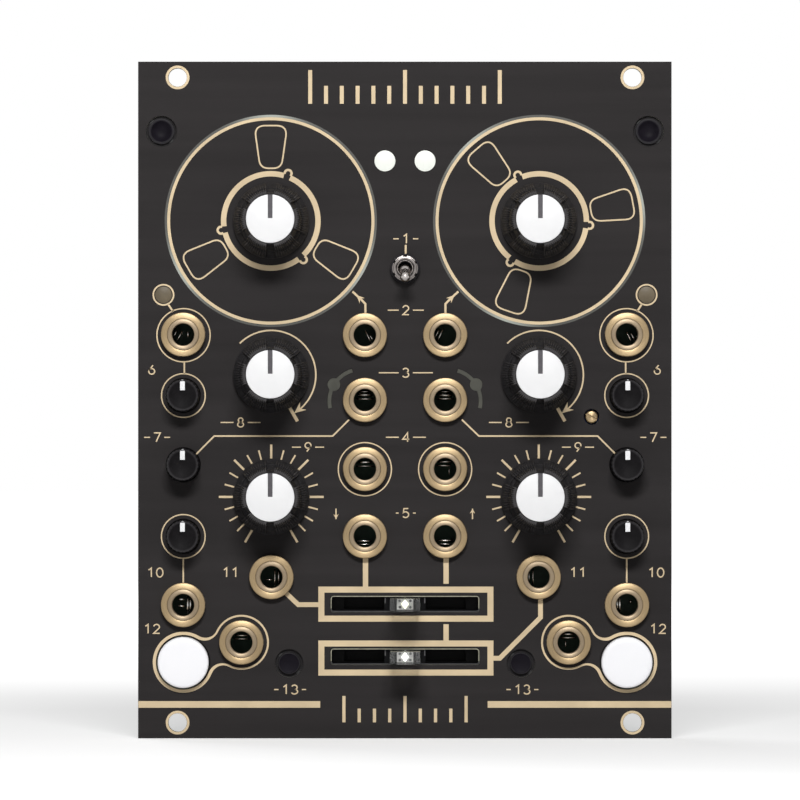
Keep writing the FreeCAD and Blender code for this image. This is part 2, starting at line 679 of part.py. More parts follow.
def slider_lever(z):
    """The clear lever, seated in the carriage."""
    back = SLIDER_CARRIAGE_RECESS + SLIDER_LEVER_SEAT
    return block(0, z, SLIDER_LEVER_WIDTH, SLIDER_LEVER_HEIGHT, -SLIDER_LEVER_PROUD, back)


RECORD_HOUSING_FRONT = FRONT_BOARD_FRONT - RECORD_HOUSING_DEPTH
SWITCH_FRONT = FRONT_BOARD_FRONT - SWITCH_DEPTH


def record_button(x, z):
    """A round translucent cap with a soft edge, on a square stem that enters its switch."""
    front = -RECORD_BUTTON_PROUD
    back = front + RECORD_BUTTON_THICKNESS
    outline = [
        (RECORD_BUTTON_RADIUS - RECORD_BUTTON_EDGE, front),
        (RECORD_BUTTON_RADIUS, front + RECORD_BUTTON_EDGE),
        (RECORD_BUTTON_RADIUS, back),
    ]
    stem_end = RECORD_HOUSING_FRONT + RECORD_BUTTON_TRAVEL
    stem = block(x, z, RECORD_STEM_WIDTH, RECORD_STEM_WIDTH, back, stem_end)
    return stack(x, z, outline, ROUND_FLATS).fuse(stem)


def round_button(x, z, radius):
    """A small cap with a dished top, on a square stem that enters its switch."""
    front = -BUTTON_PROUD
    shoulder = SWITCH_FRONT - 2 * BUTTON_TRAVEL
    cap = prism(x, z, radius, front, shoulder, SMALL_FLATS)
    dish = stack(x, z, [(radius - BUTTON_RIM, front), (radius / 2, front + BUTTON_DISH_DEPTH)], SMALL_FLATS)
    stem = block(x, z, BUTTON_STEM_WIDTH, BUTTON_STEM_WIDTH, shoulder, SWITCH_FRONT + BUTTON_TRAVEL)
    return cap.fuse(stem).cut(dish)


def switch_housing(x, z, width, front, stem_width, travel):
    """A switch body with a pocket that its button's stem presses into."""
    pocket_width = stem_width + 2 * SWITCH_POCKET_CLEARANCE
    pocket_end = front + 2 * travel + SWITCH_POCKET_CLEARANCE
    pocket = block(x, z, pocket_width, pocket_width, front, pocket_end)
    return block(x, z, width, width, front, FRONT_BOARD_FRONT).cut(pocket)


def switch_housings():
    """Switch bodies behind the record, erase and corner buttons."""
    small = mirrored_pair(ERASE_BUTTON_X, ERASE_BUTTON_Z) + mirrored_pair(CORNER_BUTTON_X, CORNER_BUTTON_Z)
    record = (RECORD_HOUSING_WIDTH, RECORD_HOUSING_FRONT, RECORD_STEM_WIDTH, RECORD_BUTTON_TRAVEL)
    tactile = (SWITCH_WIDTH, SWITCH_FRONT, BUTTON_STEM_WIDTH, BUTTON_TRAVEL)
    housings = [switch_housing(x, z, *record) for x, z in mirrored_pair(OUTER_COLUMN_X, RECORD_BUTTON_Z)]
    return housings + [switch_housing(x, z, *tactile) for x, z in small]


TRIMMER_FRONT = FRONT_BOARD_FRONT - TRIMMER_DEPTH


def calibration_trimmer_body():
    """A tall narrow trimmer with its screw near the upper right corner."""
    centre_x = TRIMMER_X + TRIMMER_EDGE_TO_SCREW - TRIMMER_WIDTH / 2
    centre_z = TRIMMER_Z + TRIMMER_EDGE_TO_SCREW - TRIMMER_HEIGHT / 2
    body = block(centre_x, centre_z, TRIMMER_WIDTH, TRIMMER_HEIGHT, TRIMMER_FRONT, FRONT_BOARD_FRONT)
    hole = around(TRIMMER_SCREW_RADIUS + SHAFT_CLEARANCE, INNER_FLATS)
    pocket_end = TRIMMER_FRONT + TRIMMER_SCREW_SEAT + SHAFT_END_GAP
    return [body.cut(prism(TRIMMER_X, TRIMMER_Z, hole, TRIMMER_FRONT, pocket_end, INNER_FLATS))]


def calibration_screw():
    front = TRIMMER_FRONT - TRIMMER_SCREW_PROUD
    back = TRIMMER_FRONT + TRIMMER_SCREW_SEAT
    screw = prism(TRIMMER_X, TRIMMER_Z, TRIMMER_SCREW_RADIUS, front, back, SMALL_FLATS)
    slot = block(
        TRIMMER_X, TRIMMER_Z, TRIMMER_SLOT_WIDTH, 3 * TRIMMER_SCREW_RADIUS, front, front + TRIMMER_SLOT_DEPTH
    )
    return screw.cut(turned(slot, TRIMMER_X, TRIMMER_Z, 60))


def window_lights():
    """Round lights on the front board that reach to just behind the panel's windows."""
    places = mirrored_pair(WINDOW_TOP_X, WINDOW_TOP_Z) + mirrored_pair(WINDOW_INPUT_X, WINDOW_INPUT_Z)
    front = PANEL_BACK + LED_PANEL_GAP
    return [prism(x, z, LED_RADIUS, front, FRONT_BOARD_FRONT, HIDDEN_FLATS) for x, z in places]


def board_connectors():
    """Socket strips on the front board and the header strips that meet them from the rear board."""
    strips = []
    meeting = FRONT_BOARD_BACK + CONNECTOR_SOCKET_HEIGHT
    for x in (-CONNECTOR_X, CONNECTOR_X):
        for z in (CONNECTOR_HIGH_Z, CONNECTOR_LOW_Z):
            strips.append(block(x, z, CONNECTOR_WIDTH, CONNECTOR_LENGTH, FRONT_BOARD_BACK, meeting))
            strips.append(
                block(x, z, CONNECTOR_WIDTH, CONNECTOR_LENGTH, meeting + CONNECTOR_GAP, REAR_BOARD_FRONT)
            )
    return strips


POWER_FLOOR = REAR_BOARD_BACK + POWER_HEADER_FLOOR
POWER_BACK = REAR_BOARD_BACK + POWER_HEADER_DEPTH


def power_pin_places():
    places = []
    for column in range(POWER_PIN_COLUMNS):
        x = (column - (POWER_PIN_COLUMNS - 1) / 2) * POWER_PIN_PITCH
        places += [(x, POWER_HEADER_Z + k * POWER_PIN_PITCH / 2) for k in (-1, 1)]
    return places


def power_header():
    """A shrouded header with a key slot in its lower wall."""
    shell = block(
        0, POWER_HEADER_Z, POWER_HEADER_LENGTH, POWER_HEADER_WIDTH, REAR_BOARD_BACK, POWER_BACK
    )
    inner_length = POWER_HEADER_LENGTH - 2 * POWER_HEADER_WALL
    inner_width = POWER_HEADER_WIDTH - 2 * POWER_HEADER_WALL
    inside = block(0, POWER_HEADER_Z, inner_length, inner_width, POWER_FLOOR, POWER_BACK)
    wall_z = POWER_HEADER_Z - POWER_HEADER_WIDTH / 2
    key = block(0, wall_z, POWER_HEADER_KEY_WIDTH, 3 * POWER_HEADER_WALL, POWER_FLOOR, POWER_BACK)
    return [shell.cut([inside, key])]


def power_pins():
    tip = POWER_BACK - POWER_PIN_TIP_GAP
    return [block(x, z, POWER_PIN_WIDTH, POWER_PIN_WIDTH, POWER_FLOOR, tip) for x, z in power_pin_places()]


def board_chips():
    """Flat chips on the back of the rear board."""
    top = REAR_BOARD_BACK + CHIP_THICKNESS
    chips = [block(0, CHIP_ROW_Z, PROCESSOR_WIDTH, PROCESSOR_WIDTH, REAR_BOARD_BACK, top)]
    for sign in (-1, 1):
        memory_x = sign * (PROCESSOR_WIDTH + MEMORY_WIDTH)
        codec_x = sign * 2 * PROCESSOR_WIDTH
        chips.append(block(memory_x, CHIP_ROW_Z, MEMORY_WIDTH, PROCESSOR_WIDTH, REAR_BOARD_BACK, top))
        for row in (1, 2, 3):
            codec_z = CHIP_ROW_Z - row * 2 * MEMORY_WIDTH
            chips.append(block(codec_x, codec_z, CODEC_WIDTH, CODEC_WIDTH, REAR_BOARD_BACK, top))
    return chips


def board_capacitors():
    """Round cans on square bases beside the power header."""
    cans = []
    base_back = REAR_BOARD_BACK + CAPACITOR_BASE
    top = REAR_BOARD_BACK + CAPACITOR_HEIGHT
    for sign in (-1, 1):
        x = sign * (POWER_HEADER_LENGTH / 2 + 3 * CAPACITOR_RADIUS)
        width = CAPACITOR_BASE_WIDTH
        base = block(x, POWER_HEADER_Z, width, width, REAR_BOARD_BACK, base_back)
        cans.append(base.fuse(prism(x, POWER_HEADER_Z, CAPACITOR_RADIUS, base_back, top, INNER_FLATS)))
    return cans


def all_nodes():
    nodes = {
        "panel": panel(),
        "front_board": board(FRONT_BOARD_WIDTH, FRONT_BOARD_HEIGHT, FRONT_BOARD_FRONT),
        "rear_board": board(REAR_BOARD_WIDTH, REAR_BOARD_HEIGHT, REAR_BOARD_FRONT),
        "board_spacers": board_spacers(),
        "jack_bushings": jack_bushings(),
        "jack_nuts": jack_nuts(),
        "jack_housings": jack_housings(),
        "jack_contacts": jack_contacts(),
        "pot_housings": pot_housings(),
        "control_bushings": control_bushings(),
        "control_nuts": control_nuts(),
        "small_pot_housings": small_pot_housings(),
        "toggle_housing": toggle_housing(),
        "toggle_lever": [toggle_lever()],
        "slide_pot_frames": slide_pot_frames(),
        "switch_housings": switch_housings(),
        "calibration_trimmer_body": calibration_trimmer_body(),
        "calibration_screw": [calibration_screw()],
        "window_lights": window_lights(),
        "board_connectors": board_connectors(),
        "power_header": power_header(),
        "power_pins": power_pins(),
        "board_chips": board_chips(),
        "board_capacitors": board_capacitors(),
    }
    for name, (x, z) in large_pot_places().items():
        nodes[name + "_knob"] = [large_knob(x, z)]
        nodes[name + "_cap"] = [knob_cap(x, z)]
        nodes[name + "_shaft"] = [pot_shaft(x, z)]
    for name, (x, z) in small_pot_places().items():
        nodes[name + "_knob"] = [small_knob(x, z)]
    for name, z in (("upper", SLIDER_HIGH_Z), ("lower", SLIDER_LOW_Z)):
        nodes[name + "_slider_carriage"] = [slider_carriage(z)]
        nodes[name + "_slider_lever"] = [slider_lever(z)]
    for side, sign in SIDES.items():
        nodes["record_button_" + side] = [record_button(sign * OUTER_COLUMN_X, RECORD_BUTTON_Z)]
        nodes["erase_button_" + side] = [
            round_button(sign * ERASE_BUTTON_X, ERASE_BUTTON_Z, ERASE_CAP_RADIUS)
        ]
        nodes["corner_button_" + side] = [
            round_button(sign * CORNER_BUTTON_X, CORNER_BUTTON_Z, CORNER_CAP_RADIUS)
        ]
    return nodes


os.makedirs("parts", exist_ok=True)
for node, solids in all_nodes().items():
    shape = solids[0] if len(solids) == 1 else Part.makeCompound(solids)
    shape.exportStep("parts/" + node + ".step")
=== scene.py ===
import math
import random

import bmesh
import bpy
from mathutils import Matrix, Vector

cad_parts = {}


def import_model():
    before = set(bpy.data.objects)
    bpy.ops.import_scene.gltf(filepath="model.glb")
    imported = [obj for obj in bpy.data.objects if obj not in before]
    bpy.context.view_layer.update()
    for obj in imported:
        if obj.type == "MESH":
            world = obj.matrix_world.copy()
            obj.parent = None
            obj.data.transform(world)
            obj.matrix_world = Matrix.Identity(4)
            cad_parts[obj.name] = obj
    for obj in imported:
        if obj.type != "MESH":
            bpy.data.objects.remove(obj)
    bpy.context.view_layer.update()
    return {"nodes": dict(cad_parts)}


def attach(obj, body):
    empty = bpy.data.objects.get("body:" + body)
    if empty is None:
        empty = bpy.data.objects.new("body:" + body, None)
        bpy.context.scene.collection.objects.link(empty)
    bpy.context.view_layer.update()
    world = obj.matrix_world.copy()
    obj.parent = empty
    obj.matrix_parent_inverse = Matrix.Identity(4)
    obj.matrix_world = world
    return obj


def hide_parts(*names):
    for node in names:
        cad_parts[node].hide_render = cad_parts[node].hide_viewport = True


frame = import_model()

# Sizes are in millimetres in the frame's own axes: X right, Y back from the panel, Z up.
# Angles of marks on the panel are clockwise from straight up, as a dial is read.
MM = 0.001
PHOTO_MM = 5.267
PHOTO_X = 404.7
PHOTO_Z = 399.65
SIDES = (("left", -1), ("right", 1))


def at_photo(px, py):
    """The panel point under a point of an 800-wide square-on picture."""
    return ((px - PHOTO_X) / PHOTO_MM, (PHOTO_Z - py) / PHOTO_MM)


def mirrored(x, z):
    return [(-x, z), (x, z)]


def both_sides(x, kinds):
    """Bodies of the left and the right channel, each with the place of its middle."""
    return [(kind + "_" + side, (sign * x, 0, z)) for side, sign in SIDES for kind, z in kinds]


PANEL = (-50.68, 50.62, -64.25, 64.25)
PANEL_BACK = 2.0
BOARD_BACK = 13.6
REAR_BACK = 26.2
REEL_Z, LENGTH_Z, START_Z = 34.0, 4.75, -18.4
LARGE_X = 25.4
OUTER_X = 42.1
LARGE_KNOBS = both_sides(LARGE_X, (("speed", REEL_Z), ("length", LENGTH_Z), ("start", START_Z)))
SMALL_KNOBS = both_sides(OUTER_X, (("input", 0.85), ("time", -12.3), ("output", -25.9)))
LARGE_PLACES = [(x, z) for body, (x, y, z) in LARGE_KNOBS]
SMALL_PLACES = [(x, z) for body, (x, y, z) in SMALL_KNOBS]
RECORD_JACK = (31.05, -46.0)
JACKS = [
    place for x, z in (
        (42.1, 12.4), (7.62, 12.3), (7.62, 0.0), (7.62, -13.1), (7.62, -25.85), (25.35, -33.6),
        (42.1, -38.9), RECORD_JACK,
    ) for place in mirrored(x, z)
]
SLIDERS = (("upper", -38.7), ("lower", -48.7))
TOGGLE = (0, 24.95)
TRIMMER = (35.45, -3.2)
RECORD = (42.1, -49.8)
ERASE = (22.0, -50.0)
CORNER = (46.25, 51.0)
WINDOW_TOP = (3.81, 45.4)
WINDOW_IN = (45.87, 19.97)
RAILS = mirrored(43.18, 61.25) + mirrored(43.18, -61.25)
SPACERS = mirrored(36.0, 45.5) + mirrored(34.0, -28.5)


# Materials
def node(tree, kind, inputs=None, **settings):
    """A shader node with its settings, and inputs given as values or as sockets to link."""
    made = tree.nodes.new("ShaderNode" + kind)
    for key, value in settings.items():
        setattr(made, key, value)
    for key, value in (inputs or {}).items():
        if isinstance(value, bpy.types.NodeSocket):
            tree.links.new(value, made.inputs[key])
        else:
            made.inputs[key].default_value = value
    return made


def toned(color, factor):
    return tuple(min(1.0, c * factor) for c in color) + (1.0,)


def finish(
    name, slot, color, rough, metal=0.0, scale=0.5, stretch=(1, 1, 1), tone=0.12, fine=8.0,
    change=0.06, bump=0.01, coords="Object", edge_wear_and_sheen=None, level=None, glow=None, **sockets,
):
    """A finish with drifting colour, a fine grain in its gloss and height, and lighter edges that
    show wear and, on some finishes, a painted highlight.
    scale is in cycles per millimetre, and fine says how much smaller the grain is.
    level is the specular level, and glow an emission colour with its strength."""
    material = bpy.data.materials.new(name)
    material.use_nodes = True
    material["slot"] = slot
    tree = material.node_tree
    surface = tree.nodes["Principled BSDF"]
    sockets["Metallic"] = metal
    if level is not None:
        sockets["Specular IOR Level"] = level
    if glow:
        sockets["Emission Color"] = glow[:3] + (1.0,)
        sockets["Emission Strength"] = glow[3]
    for key, value in sockets.items():
        surface.inputs[key].default_value = value
    repeat = scale / MM if coords == "Object" else scale
    place = node(tree, "TexCoord").outputs[coords]
    mapped = {"Vector": place, "Scale": [repeat * s for s in stretch]}
    place = node(tree, "Mapping", mapped).outputs[0]
    drift = node(tree, "TexNoise", {"Vector": place, "Scale": 1.0, "Detail": 3.0}).outputs["Fac"]
    grain = node(tree, "TexNoise", {"Vector": place, "Scale": fine, "Detail": 5.0}).outputs["Fac"]
    ramp = node(tree, "ValToRGB", {"Fac": drift})
    for stop, position, factor in zip(ramp.color_ramp.elements, (0.3, 0.7), (1 - tone, 1 + tone)):
        stop.position = position
        stop.color = toned(color, factor)
    paint = ramp.outputs["Color"]
    if edge_wear_and_sheen:
        edge = node(tree, "NewGeometry").outputs["Pointiness"]
        bounds = {"Value": edge, "From Min": 0.52, "From Max": 0.6, "To Max": edge_wear_and_sheen[3]}
        edge = node(tree, "MapRange", bounds).outputs[0]
        paint = node(
            tree, "MixRGB", {"Fac": edge, "Color1": paint, "Color2": edge_wear_and_sheen[:3] + (1.0,)}
        ).outputs[0]
    tree.links.new(paint, surface.inputs["Base Color"])
    bounds = {"Value": grain, "To Min": max(0.02, rough - change), "To Max": rough + change}
    tree.links.new(node(tree, "MapRange", bounds).outputs[0], surface.inputs["Roughness"])
    relief = node(tree, "Bump", {"Height": grain, "Strength": 1.0, "Distance": bump * MM})
    tree.links.new(relief.outputs[0], surface.inputs["Normal"])
    return material


def repainted(material, color, pattern):
    """Lays a second colour over a finish where pattern, a function of its tree, gives 1."""
    tree = material.node_tree
    socket = tree.nodes["Principled BSDF"].inputs["Base Color"]
    below = socket.links[0].from_socket
    mix = node(tree, "MixRGB", {"Fac": pattern(tree), "Color1": below, "Color2": color + (1.0,)})
    tree.links.new(mix.outputs[0], socket)
    return material


def turned(material):
    """Adds brushing that runs round the piece's own axis along Y."""
    tree = material.node_tree
    surface = tree.nodes["Principled BSDF"]
    around = node(tree, "Tangent", direction_type="RADIAL", axis="Y")
    tree.links.new(around.outputs[0], surface.inputs["Tangent"])
    surface.inputs["Anisotropic"].default_value = 0.7
    surface.inputs["Anisotropic Rotation"].default_value = 0.25
    return material


def glow_pattern(tree):
    """Where a ring's own points say that light comes through it, for painting that light as a
    lighter colour.
    """
    return node(tree, "Attribute", attribute_name="glow").outputs["Fac"]


def weave_pattern(tree):
    """The glass weave that shows faintly through a board's lacquer."""
    place = node(tree, "TexCoord").outputs["Object"]
    waves = [
        node(
            tree, "TexWave", {"Vector": place, "Scale": 260.0, "Distortion": 0.6},
            bands_direction=axis,
        ).outputs["Fac"] for axis in ("X", "Z")
    ]
    total = node(tree, "Math", {0: waves[0], 1: waves[1]}, operation="MULTIPLY").outputs[0]
    return node(tree, "MapRange", {"Value": total, "From Min": 0.3, "To Max": 0.35}).outputs[0]


def side_pattern(tree):
    """1 on the sawn edges of a board, whose faces point along Y."""
    facing = node(tree, "SeparateXYZ", {0: node(tree, "TexCoord").outputs["Normal"]}).outputs["Y"]
    size = node(tree, "Math", {0: facing}, operation="ABSOLUTE").outputs[0]
    return node(tree, "MapRange", {"Value": size, "From Min": 0.6, "From Max": 0.4}).outputs[0]


PLATE_GRAIN = {"scale": 0.35, "tone": 0.2, "fine": 10.0, "bump": 0.004, "level": 0.2}
ROUND_METAL = {"metal": 1.0, "scale": 1.0, "stretch": (3, 30, 1), "fine": 2.0, "coords": "UV"}
MASK = finish(
    "black_lacquer", "panel", (0.0285, 0.026, 0.0262), 0.5, scale=0.012, stretch=(1, 1, 22),
    fine=60.0, change=0.05, bump=0.003, level=0.04,
)
LAMINATE = finish(
    "laminate_edge", "board", (0.33, 0.32, 0.24), 0.55, scale=2.0, stretch=(1, 3, 1), tone=0.25,
    bump=0.02,
)
GOLD = finish(
    "gold_trace", "brass_plated", (0.655, 0.52, 0.335), 0.45, metal=0.08, scale=0.12, tone=0.1,
    fine=18.0, bump=0.004, level=0.15,
)
GLASS_FIBRE = finish("bare_laminate", "board", (0.135, 0.108, 0.07), 0.42, **PLATE_GRAIN)
TINTED = finish("tinted_laminate", "board", (0.062, 0.062, 0.05), 0.42, **PLATE_GRAIN)
# Painted light: the halo ring's laminate is painted lighter near each reel window, where light
# behind the panel shines through it.
HALO = repainted(
    finish(
        "laminate_with_painted_glow", "board", (0.034, 0.034, 0.026), 0.42, scale=0.35, tone=0.3, fine=10.0,
        bump=0.004,
    ),
    (0.34, 0.36, 0.32), glow_pattern,
)
BRASS = turned(finish(
    "turned_brass", "brass", (0.3, 0.222, 0.127), 0.4, tone=0.2, change=0.1, bump=0.006,
    **ROUND_METAL,
))
PLATED = turned(finish(
    "plated_sleeve", "chrome", (0.252, 0.196, 0.132), 0.44, tone=0.15, bump=0.004, **ROUND_METAL,
))
NICKEL = finish(
    "nickel_plate", "chrome", (0.42, 0.39, 0.37), 0.24, tone=0.1, bump=0.004, **ROUND_METAL
)
TOGGLE_METAL = finish(
    "toggle_metal", "chrome", (0.225, 0.205, 0.196), 0.3, tone=0.25, bump=0.006, **ROUND_METAL
)
STEEL = finish(
    "plated_steel", "steel", (0.4, 0.4, 0.41), 0.36, metal=1.0, scale=0.4, tone=0.1, bump=0.008,
    edge_wear_and_sheen=(0.6, 0.6, 0.6, 0.4),
)
SPRING = finish(
    "spring_strip", "steel", (0.46, 0.455, 0.44), 0.2, metal=1.0, scale=0.8, tone=0.08, bump=0.004
)
ALUMINIUM = finish(
    "drawn_aluminium", "aluminium", (0.44, 0.445, 0.45), 0.34, metal=1.0, stretch=(1, 8, 1),
    tone=0.06, bump=0.006,
)
KNOB = finish(
    "knob_plastic", "knob_plastic", (0.0245, 0.0232, 0.0245), 0.5, scale=0.9, tone=0.3, fine=7.0,
    change=0.12, bump=0.03, edge_wear_and_sheen=(0.09, 0.085, 0.085, 0.8), level=0.09,
)
# Its lighter edge colour is partly wear and partly painted highlight, the light that the knob's rim
# catches.
SMALL_KNOB = finish(
    "small_knob_plastic", "knob_plastic", (0.0078, 0.0071, 0.0078), 0.5, scale=0.8, tone=0.3,
    change=0.08, bump=0.014, edge_wear_and_sheen=(0.062, 0.059, 0.062, 0.9), level=0.04,
)
POINTER_DARK = finish(
    "dark_inlay", "knob_plastic", (0.043, 0.038, 0.045), 0.5, scale=1.2, tone=0.15
)
WHITE_PLASTIC = finish(
    "white_cap", "cap_white", (0.83, 0.83, 0.835), 0.36, scale=0.25, tone=0.018, fine=14.0,
    change=0.05, bump=0.006,
)
POINTER_WHITE = finish(
    "white_inlay", "cap_white", (0.86, 0.86, 0.87), 0.45, scale=1.5, tone=0.03, bump=0.006
)
BLACK_PLASTIC = finish(
    "moulded_black", "black_plastic", (0.012, 0.012, 0.013), 0.48, tone=0.25, fine=9.0, bump=0.02,
    edge_wear_and_sheen=(0.05, 0.05, 0.052, 0.4), level=0.15,
)
GLOSS_BLACK = finish(
    "glossy_black", "black_plastic", (0.003, 0.003, 0.0035), 0.3, tone=0.2, bump=0.003, level=0.06
)
BUTTON_BLACK = finish(
    "button_plastic", "black_plastic", (0.0085, 0.0072, 0.0105), 0.45, scale=0.7, tone=0.2,
    bump=0.006, edge_wear_and_sheen=(0.07, 0.068, 0.07, 0.8), level=0.04,
)
BUTTON_SEAT = finish(
    "button_seat", "black_plastic", (0.024, 0.022, 0.023), 0.5, scale=0.7, tone=0.2, bump=0.006,
    edge_wear_and_sheen=(0.08, 0.08, 0.08, 0.7), level=0.05,
)
DARK_EDGE = finish(
    "dark_edge", "black_plastic", (0.05, 0.049, 0.052), 0.4, scale=0.9, tone=0.3, bump=0.004
)
BLUE_PLASTIC = finish(
    "trimmer_blue", "trimmer_plastic", (0.008, 0.018, 0.06), 0.45, scale=0.7, tone=0.15, level=0.1
)
LIT_BUTTON = finish(
    "lit_button", "button_white", (0.86, 0.86, 0.88), 0.3, scale=0.12, tone=0.012, fine=16.0,
    bump=0.004, glow=(0.97, 0.97, 1.0, 0.13),
)
LIT_WINDOW = finish(
    "lit_window", "light_white", (0.82, 0.84, 0.78), 0.4, scale=0.4, tone=0.03, bump=0.004,
    glow=(0.95, 1.0, 0.9, 0.08),
)
CLEAR = finish(
    "clear_plastic", "clear_plastic", (0.93, 0.94, 0.92), 0.06, scale=0.6, tone=0.02, change=0.02,
    bump=0.002, **{"Transmission Weight": 1.0, "IOR": 1.4},
)
DIODE = finish(
    "lit_diode", "light_white", (0.95, 0.95, 0.9), 0.3, scale=1.0, tone=0.02, bump=0.002,
    glow=(1.0, 1.0, 0.97, 2.0),
)
# The reflector's faint emission is painted light: the glow that the lever's diode would give it.
REFLECTOR = finish(
    "lever_reflector", "light_white", (0.34, 0.34, 0.33), 0.4, scale=1.5, tone=0.15, bump=0.004,
    glow=(1.0, 1.0, 0.97, 0.06),
)
WARM_DIODE = finish(
    "warm_diode", "light_white", (0.95, 0.95, 0.86), 0.3, scale=1.0, tone=0.02, bump=0.002,
    glow=(1.0, 1.0, 0.72, 1.6),
)
GREEN_BOARD = repainted(
    repainted(
        finish(
            "green_board", "board", (0.008, 0.05, 0.02), 0.4, scale=0.06, tone=0.25, fine=30.0,
            bump=0.004, level=0.2,
        ),
        (0.014, 0.075, 0.03), weave_pattern,
    ),
    (0.30, 0.29, 0.17), side_pattern,
)
TRACK = finish(
    "covered_track", "board", (0.018, 0.115, 0.042), 0.36, scale=0.3, tone=0.15, fine=10.0,
    bump=0.004, level=0.25,
)
SOLDER = finish(
    "solder", "chrome", (0.40, 0.40, 0.39), 0.3, metal=1.0, scale=0.8, tone=0.15, bump=0.02
)
CERAMIC = finish("ceramic_part", "board", (0.24, 0.165, 0.095), 0.45, scale=1.2, tone=0.25)
CHIP = finish(
    "moulded_chip", "black_plastic", (0.011, 0.011, 0.012), 0.55, scale=1.5, tone=0.2, bump=0.012,
    level=0.15,
)


# Mesh helpers: every bmesh is drawn in millimetres and scaled once
SHARP = 32.0
STROKE_TOP, STROKE_BOTTOM = 0.035, -0.02


def smooth(mesh, sharp):
    mesh.polygons.foreach_set("use_smooth", [True] * len(mesh.polygons))
    mesh.set_sharp_from_angle(angle=math.radians(sharp))


def finished(name, bm, material, sharp=SHARP):
    """A mesh that any number of pieces may share."""
    bmesh.ops.recalc_face_normals(bm, faces=bm.faces)
    bmesh.ops.scale(bm, vec=(MM, MM, MM), verts=bm.verts)
    mesh = bpy.data.meshes.new(name)
    bm.to_mesh(mesh)
    bm.free()
    mesh.materials.append(material)
    smooth(mesh, sharp)
    return mesh


def linked(name, data):
    """A new object in the scene's own collection."""
    made = bpy.data.objects.new(name, data)
    bpy.context.scene.collection.objects.link(made)
    return made


def placed(name, mesh, body="module", *replaced, at=(0, 0, 0)):
    """A named piece that rides on a body and stands in for CAD nodes."""
    made = linked(name, mesh)
    made.location = Vector(at) * MM
    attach(made, body)
    if replaced:
        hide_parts(*replaced)
    return made


def piece(name, bm, material, body="module", *replaced, sharp=SHARP, at=(0, 0, 0)):
    return placed(name, finished(name, bm, material, sharp), body, *replaced, at=at)


def only_first(k, node_name):
    """The CAD node that a row of equal pieces replaces is named by the first of them."""
    return () if k else (node_name,)


def lathe(bm, profile, segments=48, x=0.0, z=0.0, shape=None, closed=False):
    """Revolves (radius, depth) steps about an axis along Y; radius 0 closes on the axis.
    shape(angle, radius, step) may change the radius, for flutes and ribs."""
    uv = bm.loops.layers.uv.verify()
    rings = []
    along = [0.0]
    for step, (radius, depth) in enumerate(profile):
        if step:
            before = profile[step - 1]
            along.append(along[-1] + math.hypot(radius - before[0], depth - before[1]))
        points = []
        for k in range(segments if radius > 0 else 1):
            angle = 2 * math.pi * k / segments
            r = shape(angle, radius, step) if shape and radius > 0 else radius
            points.append(bm.verts.new((x + r * math.cos(angle), depth, z + r * math.sin(angle))))
        rings.append(points)
    pairs = [(k, k + 1) for k in range(len(rings) - 1)]
    if closed:
        pairs.append((len(rings) - 1, 0))
    for a, b in pairs:
        for k in range(segments):
            used = {}
            for row, step in ((a, k), (a, k + 1), (b, k + 1), (b, k)):
                corner = rings[row][step % len(rings[row])]
                used.setdefault(corner, (step / segments * 6.0, along[row]))
            if len(used) > 2:
                for loop in bm.faces.new(list(used)).loops:
                    loop[uv].uv = used[loop.vert]
    return bm


def prism(bm, outline, front, back, x=0.0, z=0.0):
    """A flat-sided solid from an outline of (x, z) points between two depths."""
    near, far = [[bm.verts.new((x + a, y, z + b)) for a, b in outline] for y in (front, back)]
    bm.faces.new(near)
    bm.faces.new(far[::-1])
    for k in range(len(outline)):
        bm.faces.new((near[k - 1], near[k], far[k], far[k - 1]))
    return bm


def rectangle(x, z, width, height):
    corners = ((-1, -1), (1, -1), (1, 1), (-1, 1))
    return [(x + a * width / 2, z + b * height / 2) for a, b in corners]


def box(bm, x, z, width, height, front, back):
    return prism(bm, rectangle(0, 0, width, height), front, back, x, z)


def softened(bm, amount, segments=1):
    edges = [e for e in bm.edges if len(e.link_faces) == 2 and e.calc_face_angle() > 0.6]
    bmesh.ops.bevel(bm, geom=edges, offset=amount, segments=segments, profile=0.5, affect="EDGES")
    return bm


def oval(x, z, across, up, start, end, count):
    """Points on a bow, its angles clockwise from straight up."""
    angles = [math.radians(start + (end - start) * k / count) for k in range(count + 1)]
    return [(x + across * math.sin(a), z + up * math.cos(a)) for a in angles]


def arc(x, z, radius, start, end, count=24):
    return oval(x, z, radius, radius, start, end, count)


def ring(x, z, radius, count=72):
    return arc(x, z, radius, 0, 360, count)[:-1]


def spokes(x, z, angle, *reaches):
    """Points at given distances along one direction from a middle."""
    return [arc(x, z, reach, angle, angle, 1)[0] for reach in reaches]


def facing(angle):
    """The direction of an angle clockwise from up, and the one to its right."""
    a = math.radians(angle)
    along = Vector((math.sin(a), math.cos(a)))
    return along, Vector((along.y, -along.x))


def rounded(points, radius, steps=5):
    """A closed outline with its corners rounded."""
    out = []
    for k, point in enumerate(points):
        here = Vector(point)
        before = (Vector(points[k - 1]) - here).normalized()
        after = (Vector(points[(k + 1) % len(points)]) - here).normalized()
        cut = radius / math.tan(before.angle(after) / 2)
        first, last = here + before * cut, here + after * cut
        for step in range(steps + 1):
            t = step / steps
            out.append(tuple(first * (1 - t) ** 2 + here * 2 * t * (1 - t) + last * t ** 2))
    return out


def square_out(points, k, closed):
    """The outward direction at a point of a line, and how far a corner stretches it."""
    here = Vector(points[k])
    sides = []
    if closed or k:
        sides.append((here - Vector(points[k - 1])).normalized())
    if closed or k < len(points) - 1:
        sides.append((Vector(points[(k + 1) % len(points)]) - here).normalized())
    along = (sides[0] + sides[-1]).normalized()
    out = Vector((-along.y, along.x))
    return out, 1 / max(0.4, out.dot(Vector((-sides[0].y, sides[0].x))))


